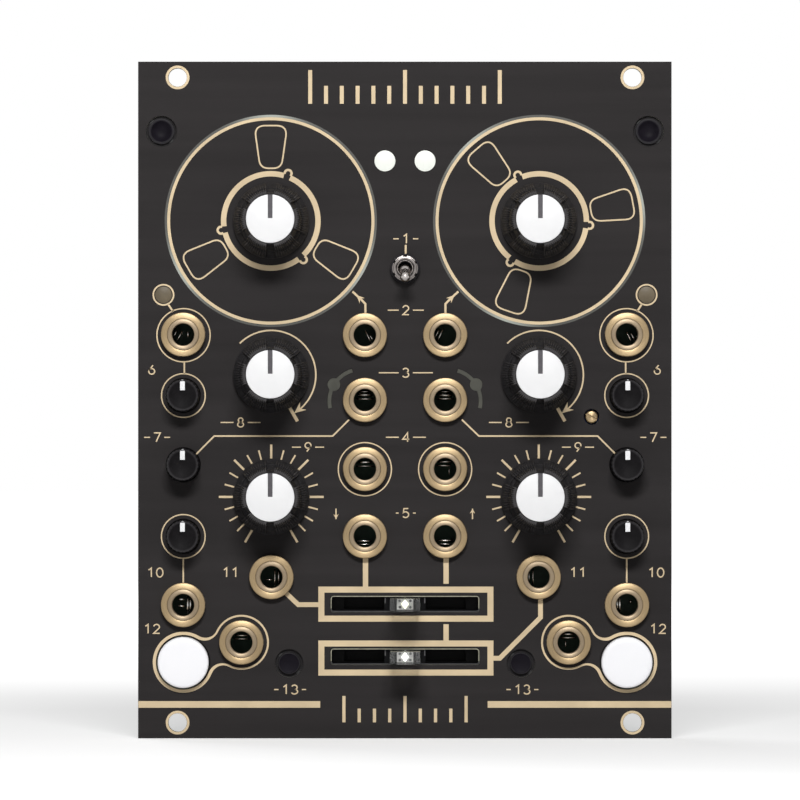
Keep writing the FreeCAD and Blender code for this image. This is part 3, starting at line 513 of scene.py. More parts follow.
def ribbon(bm, points, width, closed=False, top=STROKE_TOP, bottom=STROKE_BOTTOM):
    """A flat stroke on the panel's front that stands a little proud of the lacquer.
    The width is one number, or one for each point."""
    widths = width if isinstance(width, list) else [width] * len(points)
    rows = []
    for k, point in enumerate(points):
        out, stretch = square_out(points, k, closed)
        row = []
        for sign, depth in ((1, -top), (-1, -top), (-1, -bottom), (1, -bottom)):
            spot = Vector(point) + out * (widths[k] / 2 * stretch) * sign
            row.append(bm.verts.new((spot.x, depth, spot.y)))
        rows.append(row)
    pairs = list(zip(rows, rows[1:]))
    if closed:
        pairs.append((rows[-1], rows[0]))
    for a, b in pairs:
        for k in range(4):
            bm.faces.new((a[k], a[(k + 1) % 4], b[(k + 1) % 4], b[k]))
    if not closed:
        bm.faces.new(rows[0])
        bm.faces.new(rows[-1][::-1])
    return bm


def plate(name, outlines, front, back, bevel, material, resolution=1, sharp=None):
    """A flat plate between two depths from closed outlines, the inner ones being holes."""
    curve = bpy.data.curves.new(name, "CURVE")
    curve.dimensions = "2D"
    curve.fill_mode = "BOTH"
    curve.extrude = (back - front) / 2 * MM - bevel * MM
    curve.bevel_depth = bevel * MM
    curve.bevel_resolution = resolution
    curve.offset = -bevel * MM
    for outline in outlines:
        spline = curve.splines.new("POLY")
        spline.points.add(len(outline) - 1)
        for point, (a, b) in zip(spline.points, outline):
            point.co = (a * MM, b * MM, 0, 1)
        spline.use_cyclic_u = True
    holder = linked(name + "_curve", curve)
    mesh = evaluated(holder)
    bpy.data.objects.remove(holder)
    middle = (front + back) / 2 * MM
    mesh.transform(Matrix(((1, 0, 0, 0), (0, 0, -1, middle), (0, 1, 0, 0), (0, 0, 0, 1))))
    bm = bmesh.new()
    bm.from_mesh(mesh)
    bmesh.ops.remove_doubles(bm, verts=bm.verts, dist=1e-7)
    bmesh.ops.recalc_face_normals(bm, faces=bm.faces)
    bm.to_mesh(mesh)
    bm.free()
    mesh.name = name
    mesh.materials.append(material)
    if sharp:
        smooth(mesh, sharp)
    return mesh


def evaluated(made):
    """The mesh of an object as it looks with its modifiers or bevels."""
    bpy.context.view_layer.update()
    seen = made.evaluated_get(bpy.context.evaluated_depsgraph_get())
    return bpy.data.meshes.new_from_object(seen)


def thread(crest, root, start, end, pitch):
    """Profile steps of a plain thread between two depths."""
    steps = []
    depth = start
    while depth < end:
        steps += [(crest, depth), (root, depth + pitch / 2)]
        depth += pitch
    return steps


def turned_mesh(profile, segments, **settings):
    return lathe(bmesh.new(), profile, segments, **settings)


# Panel: a black lacquered laminate plate with its holes and windows
CLOCK_JACK = (8.38, -0.2)
CLOCK_REACH, CLOCK_HALF = 5.98, 0.37
CLOCK_HEAD, CLOCK_HEAD_ANGLE, CLOCK_HEAD_SPREAD = 1.22, 58.6, 12.9
HOLES = (
    (JACKS, 3.12), (LARGE_PLACES, 3.6), (SMALL_PLACES, 3.28), (mirrored(*RECORD), 5.08),
    (mirrored(*ERASE), 2.66), (mirrored(*CORNER), 2.9), (mirrored(*WINDOW_TOP), 1.99),
    (mirrored(*WINDOW_IN), 1.6), ([TOGGLE], 2.5), ([TRIMMER], 1.5), (RAILS, 1.75),
)


def clock_arc(sign):
    """The window beside each clock jack: a curved slot with a disc part way along it."""
    outer, inner = CLOCK_REACH + CLOCK_HALF, CLOCK_REACH - CLOCK_HALF
    head = spokes(*CLOCK_JACK, CLOCK_HEAD_ANGLE, 6.0)[0]
    before, after = CLOCK_HEAD_ANGLE - CLOCK_HEAD_SPREAD, CLOCK_HEAD_ANGLE + CLOCK_HEAD_SPREAD
    outline = arc(*CLOCK_JACK, outer, 15.5, before + 1.6, 8)
    outline += arc(*head, CLOCK_HEAD, -6, 123, 10)
    outline += arc(*CLOCK_JACK, outer, after - 1.6, 103, 8)
    outline += arc(*CLOCK_JACK, inner, 103, after - 2.4, 8)
    outline += arc(*head, CLOCK_HEAD, 174, 303, 10)
    outline += arc(*CLOCK_JACK, inner, before + 2.4, 15.5, 8)
    return [(sign * a, b) for a, b in outline]


def panel_plate():
    left, right, low, high = PANEL
    outlines = [[(left, low), (right, low), (right, high), (left, high)]]
    outlines += [ring(*spot, radius, 56) for places, radius in HOLES for spot in places]
    outlines += [rounded(rectangle(0, z, *SLOT), 0.7) for n, z in SLIDERS]
    outlines += [clock_arc(s) for n, s in SIDES]
    mesh = plate("front_panel", outlines, 0.0, PANEL_BACK, 0.1, MASK)
    mesh.materials.append(LAMINATE)
    for face in mesh.polygons:
        if abs(face.normal.y) < 0.3:
            face.material_index = 1
    smooth(mesh, 14)
    placed("front_panel", mesh, "module", "panel")


# Traces on the panel's front
ARROW_NOTCH, ARROW_TOP = 0.35, 0.045
REEL_X = 25.48
RIM_RADIUS, RIM_WIDTH = 19.4, 0.57
HALO_RADIUS, HALO_WIDTH, HALO_SPREAD = 19.92, 0.46, 15.0
HUB_RADIUS, HUB_WIDTH = 8.96, 1.02
NOTCH_REACH, NOTCH_RADIUS, NOTCH_TURN, NOTCH_GAP = 9.6, 0.66, 118, 3.9
REEL_WINDOWS = {-1: (0, 120, 240), 1: (-41, 79, 199)}
REEL_BUMPS = {-1: (20, 140, 259.5), 1: (-25, 95, 215)}


def arrow_head(bm, tip, angle, length, half):
    """A solid notched arrowhead pointing along an angle clockwise from up."""
    along, across = facing(angle)
    tip = Vector(tip)
    back = tip - along * length
    notch = back + along * length * ARROW_NOTCH
    points = [tip, back + across * half, notch, back - across * half]
    prism(bm, [tuple(p) for p in points], -ARROW_TOP, -STROKE_BOTTOM)


def hub_ring(bm, x, z, bumps):
    """The wide hub ring with three small key notches pushed out of it."""
    bumps = sorted(b % 360 for b in bumps)
    for bump, following in zip(bumps, bumps[1:] + [bumps[0] + 360]):
        between = arc(x, z, HUB_RADIUS, bump + NOTCH_GAP, following - NOTCH_GAP, 40)
        ribbon(bm, between, HUB_WIDTH)
        centre = spokes(x, z, bump, NOTCH_REACH)[0]
        notch = arc(*centre, NOTCH_RADIUS, bump - NOTCH_TURN, bump + NOTCH_TURN, 14)
        ribbon(bm, notch, 0.44, top=0.04)


def reel_window(bm, x, z, angle):
    """A rounded opening drawn between hub and rim, wider towards the rim."""
    along, across = facing(angle)
    shape = ((10.0, -2.0), (10.0, 2.0), (18.1, 3.15), (18.1, -3.15))
    corners = [tuple(Vector((x, z)) + along * reach + across * side) for reach, side in shape]
    ribbon(bm, rounded(corners, 1.8, 7), 0.29, closed=True)


def reels():
    rings, halo = bmesh.new(), bmesh.new()
    for side, sign in SIDES:
        x = sign * REEL_X
        ribbon(rings, ring(x, REEL_Z, RIM_RADIUS, 160), RIM_WIDTH, closed=True)
        hub_ring(rings, x, REEL_Z, REEL_BUMPS[sign])
        for angle in REEL_WINDOWS[sign]:
            reel_window(rings, x, REEL_Z, angle)
        ribbon(halo, ring(x, REEL_Z, HALO_RADIUS, 160), HALO_WIDTH, closed=True, top=0.012)
    piece("reel_rings", rings, GOLD)
    mesh = piece("reel_halo_rings", halo, HALO).data
    # Painted light: each point of the halo ring gets how much lighter it is painted, most at a reel
    # window and fading away from it.
    glow = mesh.attributes.new("glow", "FLOAT", "POINT")
    for vertex, value in zip(mesh.vertices, glow.data):
        sign = -1 if vertex.co.x < 0 else 1
        x, z = vertex.co.x / MM - sign * REEL_X, vertex.co.z / MM - REEL_Z
        angle = math.degrees(math.atan2(x, z))
        away = min(abs((angle - w + 180) % 360 - 180) for w in REEL_WINDOWS[sign])
        value.value = math.exp(-((away / HALO_SPREAD) ** 2))


DIAL_RADIUS, DIAL_END, DIAL_STOP = 8.47, 149, 150.5
LONG_MARKS = (0, 45, -45, 90, -90, 150, -150)
LONG_MARK, SHORT_MARK = (9.95, 0.42), (9.15, 0.31)


def dials():
    """The length dials with a stop and an arrow, and the start dials with their marks."""
    bm = bmesh.new()
    for side, sign in SIDES:
        x = sign * LARGE_X
        ribbon(bm, arc(x, LENGTH_Z, DIAL_RADIUS, -45, DIAL_END - 2, 60), 0.29)
        tip = spokes(x, LENGTH_Z, DIAL_END, DIAL_RADIUS)[0]
        arrow_head(bm, tip, DIAL_END + 82, 2.2, 0.95)
        ribbon(bm, spokes(x, LENGTH_Z, DIAL_STOP, 7.0, 10.1), 0.62, top=0.04)
        for angle in range(-150, 151, 15):
            reach, width = LONG_MARK if angle in LONG_MARKS else SHORT_MARK
            ribbon(bm, spokes(x, START_Z, angle, 7.3, reach), width)
    piece("dial_marks", bm, GOLD)


def jack_rings():
    bm = bmesh.new()
    for side, sign in SIDES:
        for x, z, outer, width in (
            (42.05, 12.3, 5.17, 0.23), (7.62, -13.13, 5.16, 0.23),
            (42.08, 0.85, 4.27, 0.24), (42.1, -25.9, 4.27, 0.24), WINDOW_IN + (2.07, 0.3),
        ):
            ribbon(bm, ring(sign * x, z, outer - width / 2), width, closed=True)
    for x, z in RAILS:
        ribbon(bm, ring(x, z, 2.02), 0.46, closed=True)
    piece("control_rings", bm, GOLD)


def heading(start, end):
    return math.degrees(math.atan2(end.x - start.x, end.y - start.y))


def record_outlines():
    """The outline around each record button and its jack, joined by two hollows."""
    bm = bmesh.new()
    big_r, small_r, hollow = 5.5, 5.04, 2.6
    wide, narrow, taper = 0.6, 0.24, 2.2
    for side, sign in SIDES:
        big, small = [Vector((sign * x, z)) for x, z in (RECORD, RECORD_JACK)]
        distance = (small - big).length
        along = (small - big).normalized()
        across = Vector((-along.y, along.x))
        a, b = big_r + hollow, small_r + hollow
        reach = (a * a - b * b + distance * distance) / (2 * distance)
        height = math.sqrt(a * a - reach * reach)
        first, second = [big + along * reach + across * height * s for s in (1, -1)]
        points = []
        for centre, radius, before, after, way, count in (
            (big, big_r, second, first, 1, 44), (first, hollow, big, small, -1, 16),
            (small, small_r, first, second, 1, 40), (second, hollow, small, big, -1, 16),
        ):
            start, end = heading(centre, before), heading(centre, after)
            turn = (end - start) % 360 if way > 0 else -((start - end) % 360)
            points += arc(*centre, radius, start, start + turn, count)
        points = [p for k, p in enumerate(points) if math.dist(p, points[k - 1]) > 0.02]
        away = [((Vector(p) - big).length - big_r) / taper for p in points]
        ribbon(bm, points, [wide - narrow * min(1.0, max(0.0, a)) for a in away], closed=True)
    piece("record_outlines", bm, GOLD)


# Lines in picture points of an 800-wide square-on picture, with their widths in millimetres
LINES = (
    ([(348.8, 419.3), (332.3, 435.7), (213.9, 435.7), (196.1, 453.6)], 0.3),
    ([(461.6, 419.3), (478.6, 435.7), (597.3, 435.7), (615.2, 453.6)], 0.3),
    ([(365.2, 555.5), (365.2, 588.0)], 1.0),
    ([(445.8, 555.5), (445.8, 583.4)], 1.0),
    ([(445.8, 623.9), (445.8, 641.0)], 1.0),
    ([(284.5, 591.5), (297.9, 604.3), (319.5, 604.3)], 0.9),
    ([(540.2, 597.4), (540.2, 617.1), (499.5, 657.9), (491.5, 657.9)], 0.9),
    ([(405.4, 244.5), (405.4, 254.2)], 0.36),
)


def patch_lines():
    """Signal lines between jacks, knobs and sliders."""
    bm = bmesh.new()
    for side, sign in SIDES:
        ribbon(bm, [(sign * 41.9, 7.2), (sign * 41.9, 5.0)], 0.3)
        ribbon(bm, [(sign * 42.1, -30.1), (sign * 42.1, -34.9)], 0.3)
        ribbon(bm, [(sign * 44.0, 16.75), (sign * 44.98, 18.2)], 0.36)
        x = sign * 7.6 + 0.08
        line = [(x, 16.3), (x, 18.25), (x + sign * 0.72, 19.0), (x + sign * 2.45, 20.6)]
        ribbon(bm, line, 0.4)
        arrow_head(bm, (x + sign * 1.75, 19.97), sign * 46, 1.6, 0.68)
    for points, width in LINES:
        ribbon(bm, [at_photo(*p) for p in points], width, top=0.03)
    piece("patch_lines", bm, GOLD)


def slider_borders():
    bm = bmesh.new()
    line = 1.2
    for middle in (603.8, 657.7):
        border = rectangle(*at_photo(405.6, middle), 33.3 - line, 6.72 - line)
        ribbon(bm, border, 1.14, closed=True, top=0.04)
    low = -57.8
    for start, end in ((PANEL[0] + 0.05, -16.1), (15.7, PANEL[1] - 0.05)):
        ribbon(bm, [(start, low), (end, low)], 1.26)
    piece("slider_borders", bm, GOLD)


# Plain numbers in the places of words: strokes of each digit in a box 0.6 wide and 1 high
DIGITS = (
    [oval(0.3, 0.5, 0.3, 0.5, 0, 360, 24)],
    [[(0.1, 0.78), (0.36, 1.0), (0.36, 0.0)]],
    [oval(0.3, 0.71, 0.27, 0.29, -78, 118, 14) + [(0.02, 0.0), (0.6, 0.0)]],
    [oval(0.28, 0.75, 0.25, 0.25, -70, 170, 14), oval(0.28, 0.27, 0.3, 0.27, 10, 245, 14)],
    [[(0.46, 0.0), (0.46, 1.0), (0.0, 0.28), (0.62, 0.28)]],
    [[(0.54, 1.0), (0.12, 1.0), (0.07, 0.56)] + oval(0.27, 0.32, 0.3, 0.32, -38, 232, 14)],
    [oval(0.3, 0.31, 0.28, 0.31, 0, 360, 22), [(0.03, 0.4), (0.42, 1.0)]],
    [[(0.0, 1.0), (0.6, 1.0), (0.2, 0.0)]],
    [oval(0.3, 0.76, 0.22, 0.24, 0, 360, 18), oval(0.3, 0.27, 0.28, 0.27, 0, 360, 20)],
    [oval(0.3, 0.69, 0.28, 0.31, 0, 360, 22), [(0.57, 0.6), (0.18, 0.0)]],
)
# Number, the picture point of its middle and the length there for its dashes
MARKS = (
    (1, 405.5, 238.4, 25), (2, 405.5, 309.8, 36), (3, 405.5, 372.4, 54), (4, 405.6, 436.9, 40),
    (5, 405.5, 512.7, 20), (6, 151.4, 369.3, 12), (6, 657.0, 369.3, 12), (7, 156.8, 437.0, 26),
    (7, 653.1, 437.0, 26), (8, 240.3, 422.1, 40), (8, 508.6, 422.1, 40), (9, 307.7, 446.8, 32),
    (9, 577.7, 446.8, 32), (10, 154.9, 572.2, 22), (10, 655.8, 572.2, 22), (11, 230.2, 572.1, 14),
    (11, 577.7, 572.1, 14), (12, 151.7, 628.5, 20), (12, 657.7, 628.5, 20), (13, 289.8, 689.2, 32),
    (13, 522.1, 689.2, 32),
)
MARK_HEIGHT, MARK_GAP, MARK_TOP = 2.0, 0.75, 0.03
MARK_WIDTH, DASH_WIDTH = 0.24, 0.22
DIGIT_WIDTH, DIGIT_PITCH = 0.6, 0.86


def number_marks():
    """Plain numbers with short dashes beside them, one for each control's place."""
    bm = bmesh.new()
    for number, px, py, span in MARKS:
        x, z = at_photo(px, py)
        digits = [int(c) for c in str(number)]
        pitch = DIGIT_PITCH * MARK_HEIGHT
        width = DIGIT_WIDTH * MARK_HEIGHT + pitch * (len(digits) - 1)
        start = x - width / 2
        for k, digit in enumerate(digits):
            for stroke in DIGITS[digit]:
                loop = math.dist(stroke[0], stroke[-1]) < 0.01
                points = [
                    (start + k * pitch + a * MARK_HEIGHT, z + (b - 0.5) * (MARK_HEIGHT - 0.3))
                    for a, b in (stroke[:-1] if loop else stroke)
                ]
                ribbon(bm, points, MARK_WIDTH, closed=loop, top=MARK_TOP)
        room = (span / PHOTO_MM - width) / 2 - MARK_GAP
        if room > 0.5:
            for sign in (-1, 1):
                near = x + sign * (width / 2 + MARK_GAP)
                ribbon(bm, [(near, z), (near + sign * room, z)], DASH_WIDTH, top=MARK_TOP)
    for px, way, rise in ((335.7, 180, -1.0), (472.2, 0, 1.0)):
        x, z = at_photo(px, 513.5)
        ribbon(bm, [(x, z - 1.0), (x, z + 1.0)], MARK_WIDTH, top=MARK_TOP)
        arrow_head(bm, (x, z + rise), way, 0.95, 0.5)
    piece("number_marks", bm, GOLD)


def scale_bars():
    """Plain upright bars in the two title places, tall at the ends and middle."""
    bm = bmesh.new()
    for count, pitch, z, tall, low, width in (
        (13, 3.0, 59.45, 6.4, 3.4, 0.75), (9, 2.9, -58.7, 5.0, 2.6, 0.6),
    ):
        for k in range(count):
            x = (k - (count - 1) / 2) * pitch
            height = tall if k % ((count - 1) // 2) == 0 else low
            ribbon(bm, [(x, z - tall / 2), (x, z - tall / 2 + height)], width)
    piece("scale_bars", bm, GOLD)


# Jacks. Curled contact strips in sight in each jack: both ends (x, z, x, z) from the jack's
# middle and the curl's radius, in the order of JACKS
CONTACTS = (
    (
        (-1.38, -1.3, -0.26, 0.7, 0.24), (-1.95, -0.4, -1.3, 0.85, 0.2),
        (0.82, -0.3, 0.82, 0.62, 0.4),
    ),
    ((0.1, 0.55, 1.02, -1.35, 0.26), (0.92, 0.35, 1.66, -1.1, 0.32)),
    ((0.05, 0.92, 1.26, -1.5, 0.28), (1.0, 0.1, 1.62, -1.15, 0.2)),
    ((-0.38, 1.2, -1.5, -1.15, 0.3), (-1.1, 1.15, -2.0, -0.55, 0.24)),
    ((-1.35, 1.0, 1.35, 1.0, 0.5), (-1.7, 0.22, 1.7, 0.22, 0.3), (-1.1, 1.62, 1.1, 1.62, 0.18)),
    ((-1.35, 0.95, 1.35, 0.95, 0.5), (-1.7, 0.26, 1.75, 0.26, 0.34), (-1.1, 1.6, 1.1, 1.6, 0.18)),
    ((-1.3, 1.32, 1.3, 1.32, 0.85), (-1.7, 0.55, 1.7, 0.55, 0.24)),
    ((-1.3, 1.4, 1.3, 1.4, 0.36), (-1.75, 0.64, 1.1, 0.64, 0.32), (0.78, 0.2, 0.78, -1.1, 0.18)),
    ((-1.6, -0.96, 1.2, -0.96, 0.34), (-1.2, -1.6, 1.2, -1.6, 0.2)),
    ((-1.6, -0.86, 1.6, -0.86, 0.34), (-1.2, -1.55, 1.2, -1.55, 0.2)),
    ((0.6, -1.8, 0.6, 1.5, 0.26), (1.32, -1.3, 1.32, 1.3, 0.3), (-1.1, -0.57, 0.1, -0.57, 0.2)),
    ((-1.0, -1.6, -1.0, 1.6, 0.2), (-1.75, -1.0, -1.75, 1.0, 0.2)),
    (
        (0.78, -1.7, 0.78, 1.7, 1.0), (1.3, -1.4, 1.3, 1.5, 0.7), (-1.1, 1.0, 0.1, 1.0, 0.9),
        (-1.1, -0.28, 0.1, -0.28, 0.9),
    ),
    ((-1.25, -1.5, -1.25, 1.6, 0.8), (-1.75, -1.0, -1.75, 1.2, 0.5), (0.85, 0.35, 0.85, 0.7, 0.3)),
    ((-1.3, 1.24, 1.3, 1.24, 0.34), (-1.6, 0.58, 1.6, 0.58, 0.24)),
    ((-1.2, 1.5, 1.2, 1.5, 0.44), (-1.6, 0.8, 1.6, 0.8, 0.32), (-0.5, 0.1, -0.5, -0.9, 0.26)),
)


CONTACT_DEPTH, CONTACT_STEP, LEAF_END = 3.05, 0.12, 7.9


def grooved(steps, count, depth):
    """A radius that waves round the axis on some of a profile's steps, twice depth inwards."""
    def shape(angle, radius, step):
        return radius - (depth + depth * math.cos(angle * count) if step in steps else 0)
    return shape


def contact_mesh(strips):
    """Sprung contact strips, each with its end curled to face the plug and a leaf behind it."""
    bm = bmesh.new()
    for k, (x1, z1, x2, z2, radius) in enumerate(strips):
        along = Vector((x2 - x1, z2 - z1)).normalized()
        across = Vector((-along.y, along.x))
        middle = CONTACT_DEPTH + CONTACT_STEP * k + min(radius, 0.5)
        wide, lift = (radius * 0.6, radius * 0.6) if radius < 0.6 else (0.17, 0.04)
        leaf = wide * 0.4
        turns = [math.pi * s / 10 for s in range(-5, 6)]
        section = [(wide * math.sin(a), -lift * math.cos(a)) for a in turns]
        end = LEAF_END - middle
        section += [(leaf, 0.5), (leaf, end), (-leaf, end), (-leaf, 0.5)]
        rows = []
        for step in range(9):
            t = step / 8
            back = (2 * t - 1) ** 2 * 0.11 * math.hypot(x2 - x1, z2 - z1)
            rows.append([
                bm.verts.new((
                    x1 + (x2 - x1) * t + across.x * s, middle + d + (back if d < 0.6 else 0),
                    z1 + (z2 - z1) * t + across.y * s,
                )) for s, d in section
            ])
        for one, two in zip(rows, rows[1:]):
            for j in range(len(section)):
                bm.faces.new((one[j - 1], one[j], two[j], two[j - 1]))
        bm.faces.new(rows[0])
        bm.faces.new(rows[-1][::-1])
    return bm


def jacks():
    nut_profile = [
        (3.0, -0.02), (3.0, -1.83), (3.03, -1.88), (3.1, -1.9), (3.3, -1.9), (4.02, -1.9),
        (4.13, -1.86), (4.2, -1.76), (4.22, -1.6), (4.22, -0.3), (4.14, -0.02),
    ]
    knurl = grooved((8, 9), 30, 0.03)
    nut = turned_mesh(nut_profile, 120, closed=True, shape=knurl)
    sleeve_profile = [
        (2.12, 2.0), (2.12, -1.95), (2.16, -2.0), (2.3, -2.05), (2.6, -2.05), (2.88, -2.02),
        (2.95, -1.98), (2.985, -1.9), (2.98, -1.8),
    ] + thread(2.97, 2.86, -1.7, 1.7, 0.28) + [(2.97, 2.0)]
    sleeve = turned_mesh(sleeve_profile, 56, closed=True)
    nut = finished("jack_nut_01", nut, BRASS, 40)
    sleeve = finished("jack_sleeve_01", sleeve, PLATED)
    for k, (x, z) in enumerate(JACKS):
        spot = (x, 0, z)
        number = "_%02d" % (k + 1)
        placed("jack_nut" + number, nut, "module", *only_first(k, "jack_nuts"), at=spot)
        placed("jack_sleeve" + number, sleeve, "module", *only_first(k, "jack_bushings"), at=spot)
        spring = only_first(k, "jack_contacts")
        piece("jack_spring" + number, contact_mesh(CONTACTS[k]), SPRING, "module", *spring, at=spot)


# Large knobs. How deep the flutes cut on each step of the profile that is part of the grip
GRIP_STEPS = {4: 0.9, 5: 1.0, 6: 1.0, 7: 1.0, 8: 1.0, 9: 1.0, 10: 0.9, 11: 0.7, 12: 0.4}
HALF_FLUTE = 0.8 / 6.0
FLUTE_DEPTH, RIB_DEPTH, HALF_RIBS = 0.65, 0.2, 11
CAP_RADIUS, CAP_FRONT, CAP_SEAT = 4.56, -16.3, -14.92
INLAY_HALF, INLAY_LOW, INLAY_FRONT = 0.43, 0.1, -16.22


def knob_radius(angle, radius, step):
    """Six wide flutes and fine ribs between them."""
    if step not in GRIP_STEPS:
        return radius
    turn = (angle - math.pi / 2) % (math.pi / 3)
    turn = min(turn, math.pi / 3 - turn)
    depth = GRIP_STEPS[step]
    if turn < HALF_FLUTE:
        return radius - FLUTE_DEPTH * depth
    rib = math.cos((turn - HALF_FLUTE) / (math.pi / 6 - HALF_FLUTE) * HALF_RIBS * math.pi)
    return radius - RIB_DEPTH * depth * (0.5 + 0.5 * rib)


def large_knobs():
    profile = [
        (0, -14.9), (4.63, -14.9), (4.63, -15.93), (4.73, -16.0), (5.22, -16.0), (5.43, -15.82),
        (5.6, -12.0), (5.8, -8.5), (5.99, -5.15), (6.2, -5.0), (6.42, -4.2), (6.7, -3.2),
        (6.98, -2.2), (7.16, -1.75), (7.2, -1.6), (7.2, -0.95), (7.08, -0.8), (6.3, -0.8),
        (6.2, -0.9), (6.2, -3.6), (3.06, -3.6), (3.06, -13.6), (0, -13.6),
    ]
    grip = finished("speed_left_grip", turned_mesh(profile, 432, shape=knob_radius), KNOB, 50)
    top = math.sqrt(CAP_RADIUS ** 2 - INLAY_HALF ** 2)
    start = math.degrees(math.asin(INLAY_HALF / CAP_RADIUS))
    low = [(-INLAY_HALF, INLAY_LOW), (INLAY_HALF, INLAY_LOW)]
    outline = arc(0, 0, CAP_RADIUS, start, 360 - start, 84) + low
    cap = plate("knob_cap", [outline], CAP_FRONT, CAP_SEAT, 0.12, WHITE_PLASTIC, 2, 40)
    outline = low + [(INLAY_HALF, top), (-INLAY_HALF, top)]
    inlay = plate("knob_bar", [outline], INLAY_FRONT, CAP_SEAT, 0.04, POINTER_DARK)
    for body, spot in LARGE_KNOBS:
        placed(body + "_grip", grip, body, body + "_knob", at=spot)
        placed(body + "_disc", cap, body, body + "_cap", at=spot)
        placed(body + "_pointer", inlay, body, at=spot)


def small_knobs():
    profile = [
        (0, -6.86), (2.35, -6.86), (2.5, -6.96), (2.86, -7.0), (3.06, -6.78), (3.15, -1.2),
        (3.15, -1.0), (3.15, 1.9), (3.05, 2.0), (2.2, 2.0), (2.2, 6.4), (0, 6.4),
    ]
    grip = turned_mesh(profile, 96, shape=grooved((4, 5), 24, 0.05))
    grip = finished("input_left_grip", grip, SMALL_KNOB, 45)
    half = 0.46
    outline = [(-half, 0.95), (half, 0.95)] + arc(0, 2.5, half, 90, -90, 10)
    mark = plate("small_pointer", [outline], -6.98, -6.5, 0.04, POINTER_WHITE)
    for body, spot in SMALL_KNOBS:
        placed(body + "_grip", grip, body, body + "_knob", at=spot)
        placed(body + "_pointer", mark, body, at=spot)


# Toggle switch
TOGGLE_PIVOT = -0.5
TOGGLE_TIP = TOGGLE_PIVOT - 8.15
TOGGLE_TILT = 12


def keyed(angle, radius, step):
    """Six shallow keys cut in the ring round the toggle's sleeve."""
    turn = (angle - math.radians(30)) % math.radians(60)
    near = min(turn, math.radians(60) - turn)
    return radius - (0.2 if step in (6, 7, 8) and near < math.radians(6) else 0)


def ball(radius, depth, *angles):
    """Profile steps on a sphere about a point of the axis, its angles from straight ahead."""
    turns = [math.radians(a) for a in angles]
    return [(radius * math.sin(a), depth - radius * math.cos(a)) for a in turns]


def toggle():
    spot = (TOGGLE[0], 0, TOGGLE[1])
    nut = [
        (2.46, -0.02), (2.46, -1.5), (2.5, -1.6), (2.56, -1.6), (2.7, -1.58), (2.82, -1.42),
        (2.84, -1.2), (2.84, -0.25), (2.78, -0.02),
    ]
    nut = turned_mesh(nut, 144, closed=True, shape=grooved((5, 6, 7), 36, 0.045))
    piece("toggle_ring_nut", nut, BUTTON_BLACK, at=spot, sharp=45)
    crown = [
        (1.62, -1.62), (1.62, -2.9), (1.7, -3.0), (1.86, -2.86), (2.14, -2.8), (2.24, -2.9),
        (2.4, -2.86), (2.48, -2.7), (2.48, -1.62),
    ]
    crown = turned_mesh(crown, 120, closed=True, shape=keyed)
    piece("toggle_keyed_ring", crown, TOGGLE_METAL, at=spot, sharp=30)
    sleeve = [
        (1.3, 2.0), (1.3, -3.1), (1.36, -3.5), (1.42, -3.58), (1.5, -3.58), (1.58, -3.48),
        (1.6, -3.2),
    ] + thread(1.6, 1.5, -2.9, 1.7, 0.26) + [(1.6, 2.0)]
    sleeve = turned_mesh(sleeve, 56, closed=True)
    piece("toggle_sleeve", sleeve, TOGGLE_METAL, at=spot)
    bat = [(0, TOGGLE_TIP - 1.0)] + ball(1.0, TOGGLE_TIP, 20, 40, 60, 80, 100)
    bat += [(0.92, TOGGLE_TIP + 0.75), (0.6, TOGGLE_PIVOT - 3.9), (0.62, TOGGLE_PIVOT - 3.3)]
    bat += ball(1.27, TOGGLE_PIVOT - 2.1, 32, 50, 70, 90, 120, 150) + [(0, TOGGLE_PIVOT - 0.8)]
    bat = turned_mesh(bat, 40)
    tilt = Matrix.Rotation(math.radians(TOGGLE_TILT), 4, "X")
    there, back = [Matrix.Translation((0, s * TOGGLE_PIVOT, 0)) for s in (1, -1)]
    bmesh.ops.transform(bat, matrix=there @ tilt @ back, verts=bat.verts)
    piece("toggle_bat", bat, NICKEL, "toggle", "toggle_lever", at=spot, sharp=50)


def control_hardware():
    """Hexagon nuts and threaded sleeves under the large knobs."""
    flats = arc(0, 0, 5.75, 30, 330, 5)
    nut = plate("pot_nut", [flats, ring(0, 0, 3.6, 48)], -2.0, -0.02, 0.15, STEEL, 2, 30)
    profile = [(3.05, 5.2), (3.05, -2.45), (3.15, -2.6), (3.35, -2.6)]
    profile += thread(3.5, 3.33, -2.4, 4.9, 0.4) + [(3.5, 5.2)]
    sleeve = finished("speed_left_sleeve", turned_mesh(profile, 48, closed=True), BRASS)
    for k, (body, spot) in enumerate(LARGE_KNOBS):
        placed(body + "_nut", nut, "module", *only_first(k, "control_nuts"), at=spot)
        placed(body + "_sleeve", sleeve, "module", *only_first(k, "control_bushings"), at=spot)


# Sliders
SLOT = (28.4, 3.2)
LEVER = (5.6, 2.3, -13.0, 0.4)


def star(angle, radius, step):
    """The four soft points of a lever's light."""
    return radius * (1 + (0.16 * math.cos(angle * 4) if step in (2, 3) else 0))


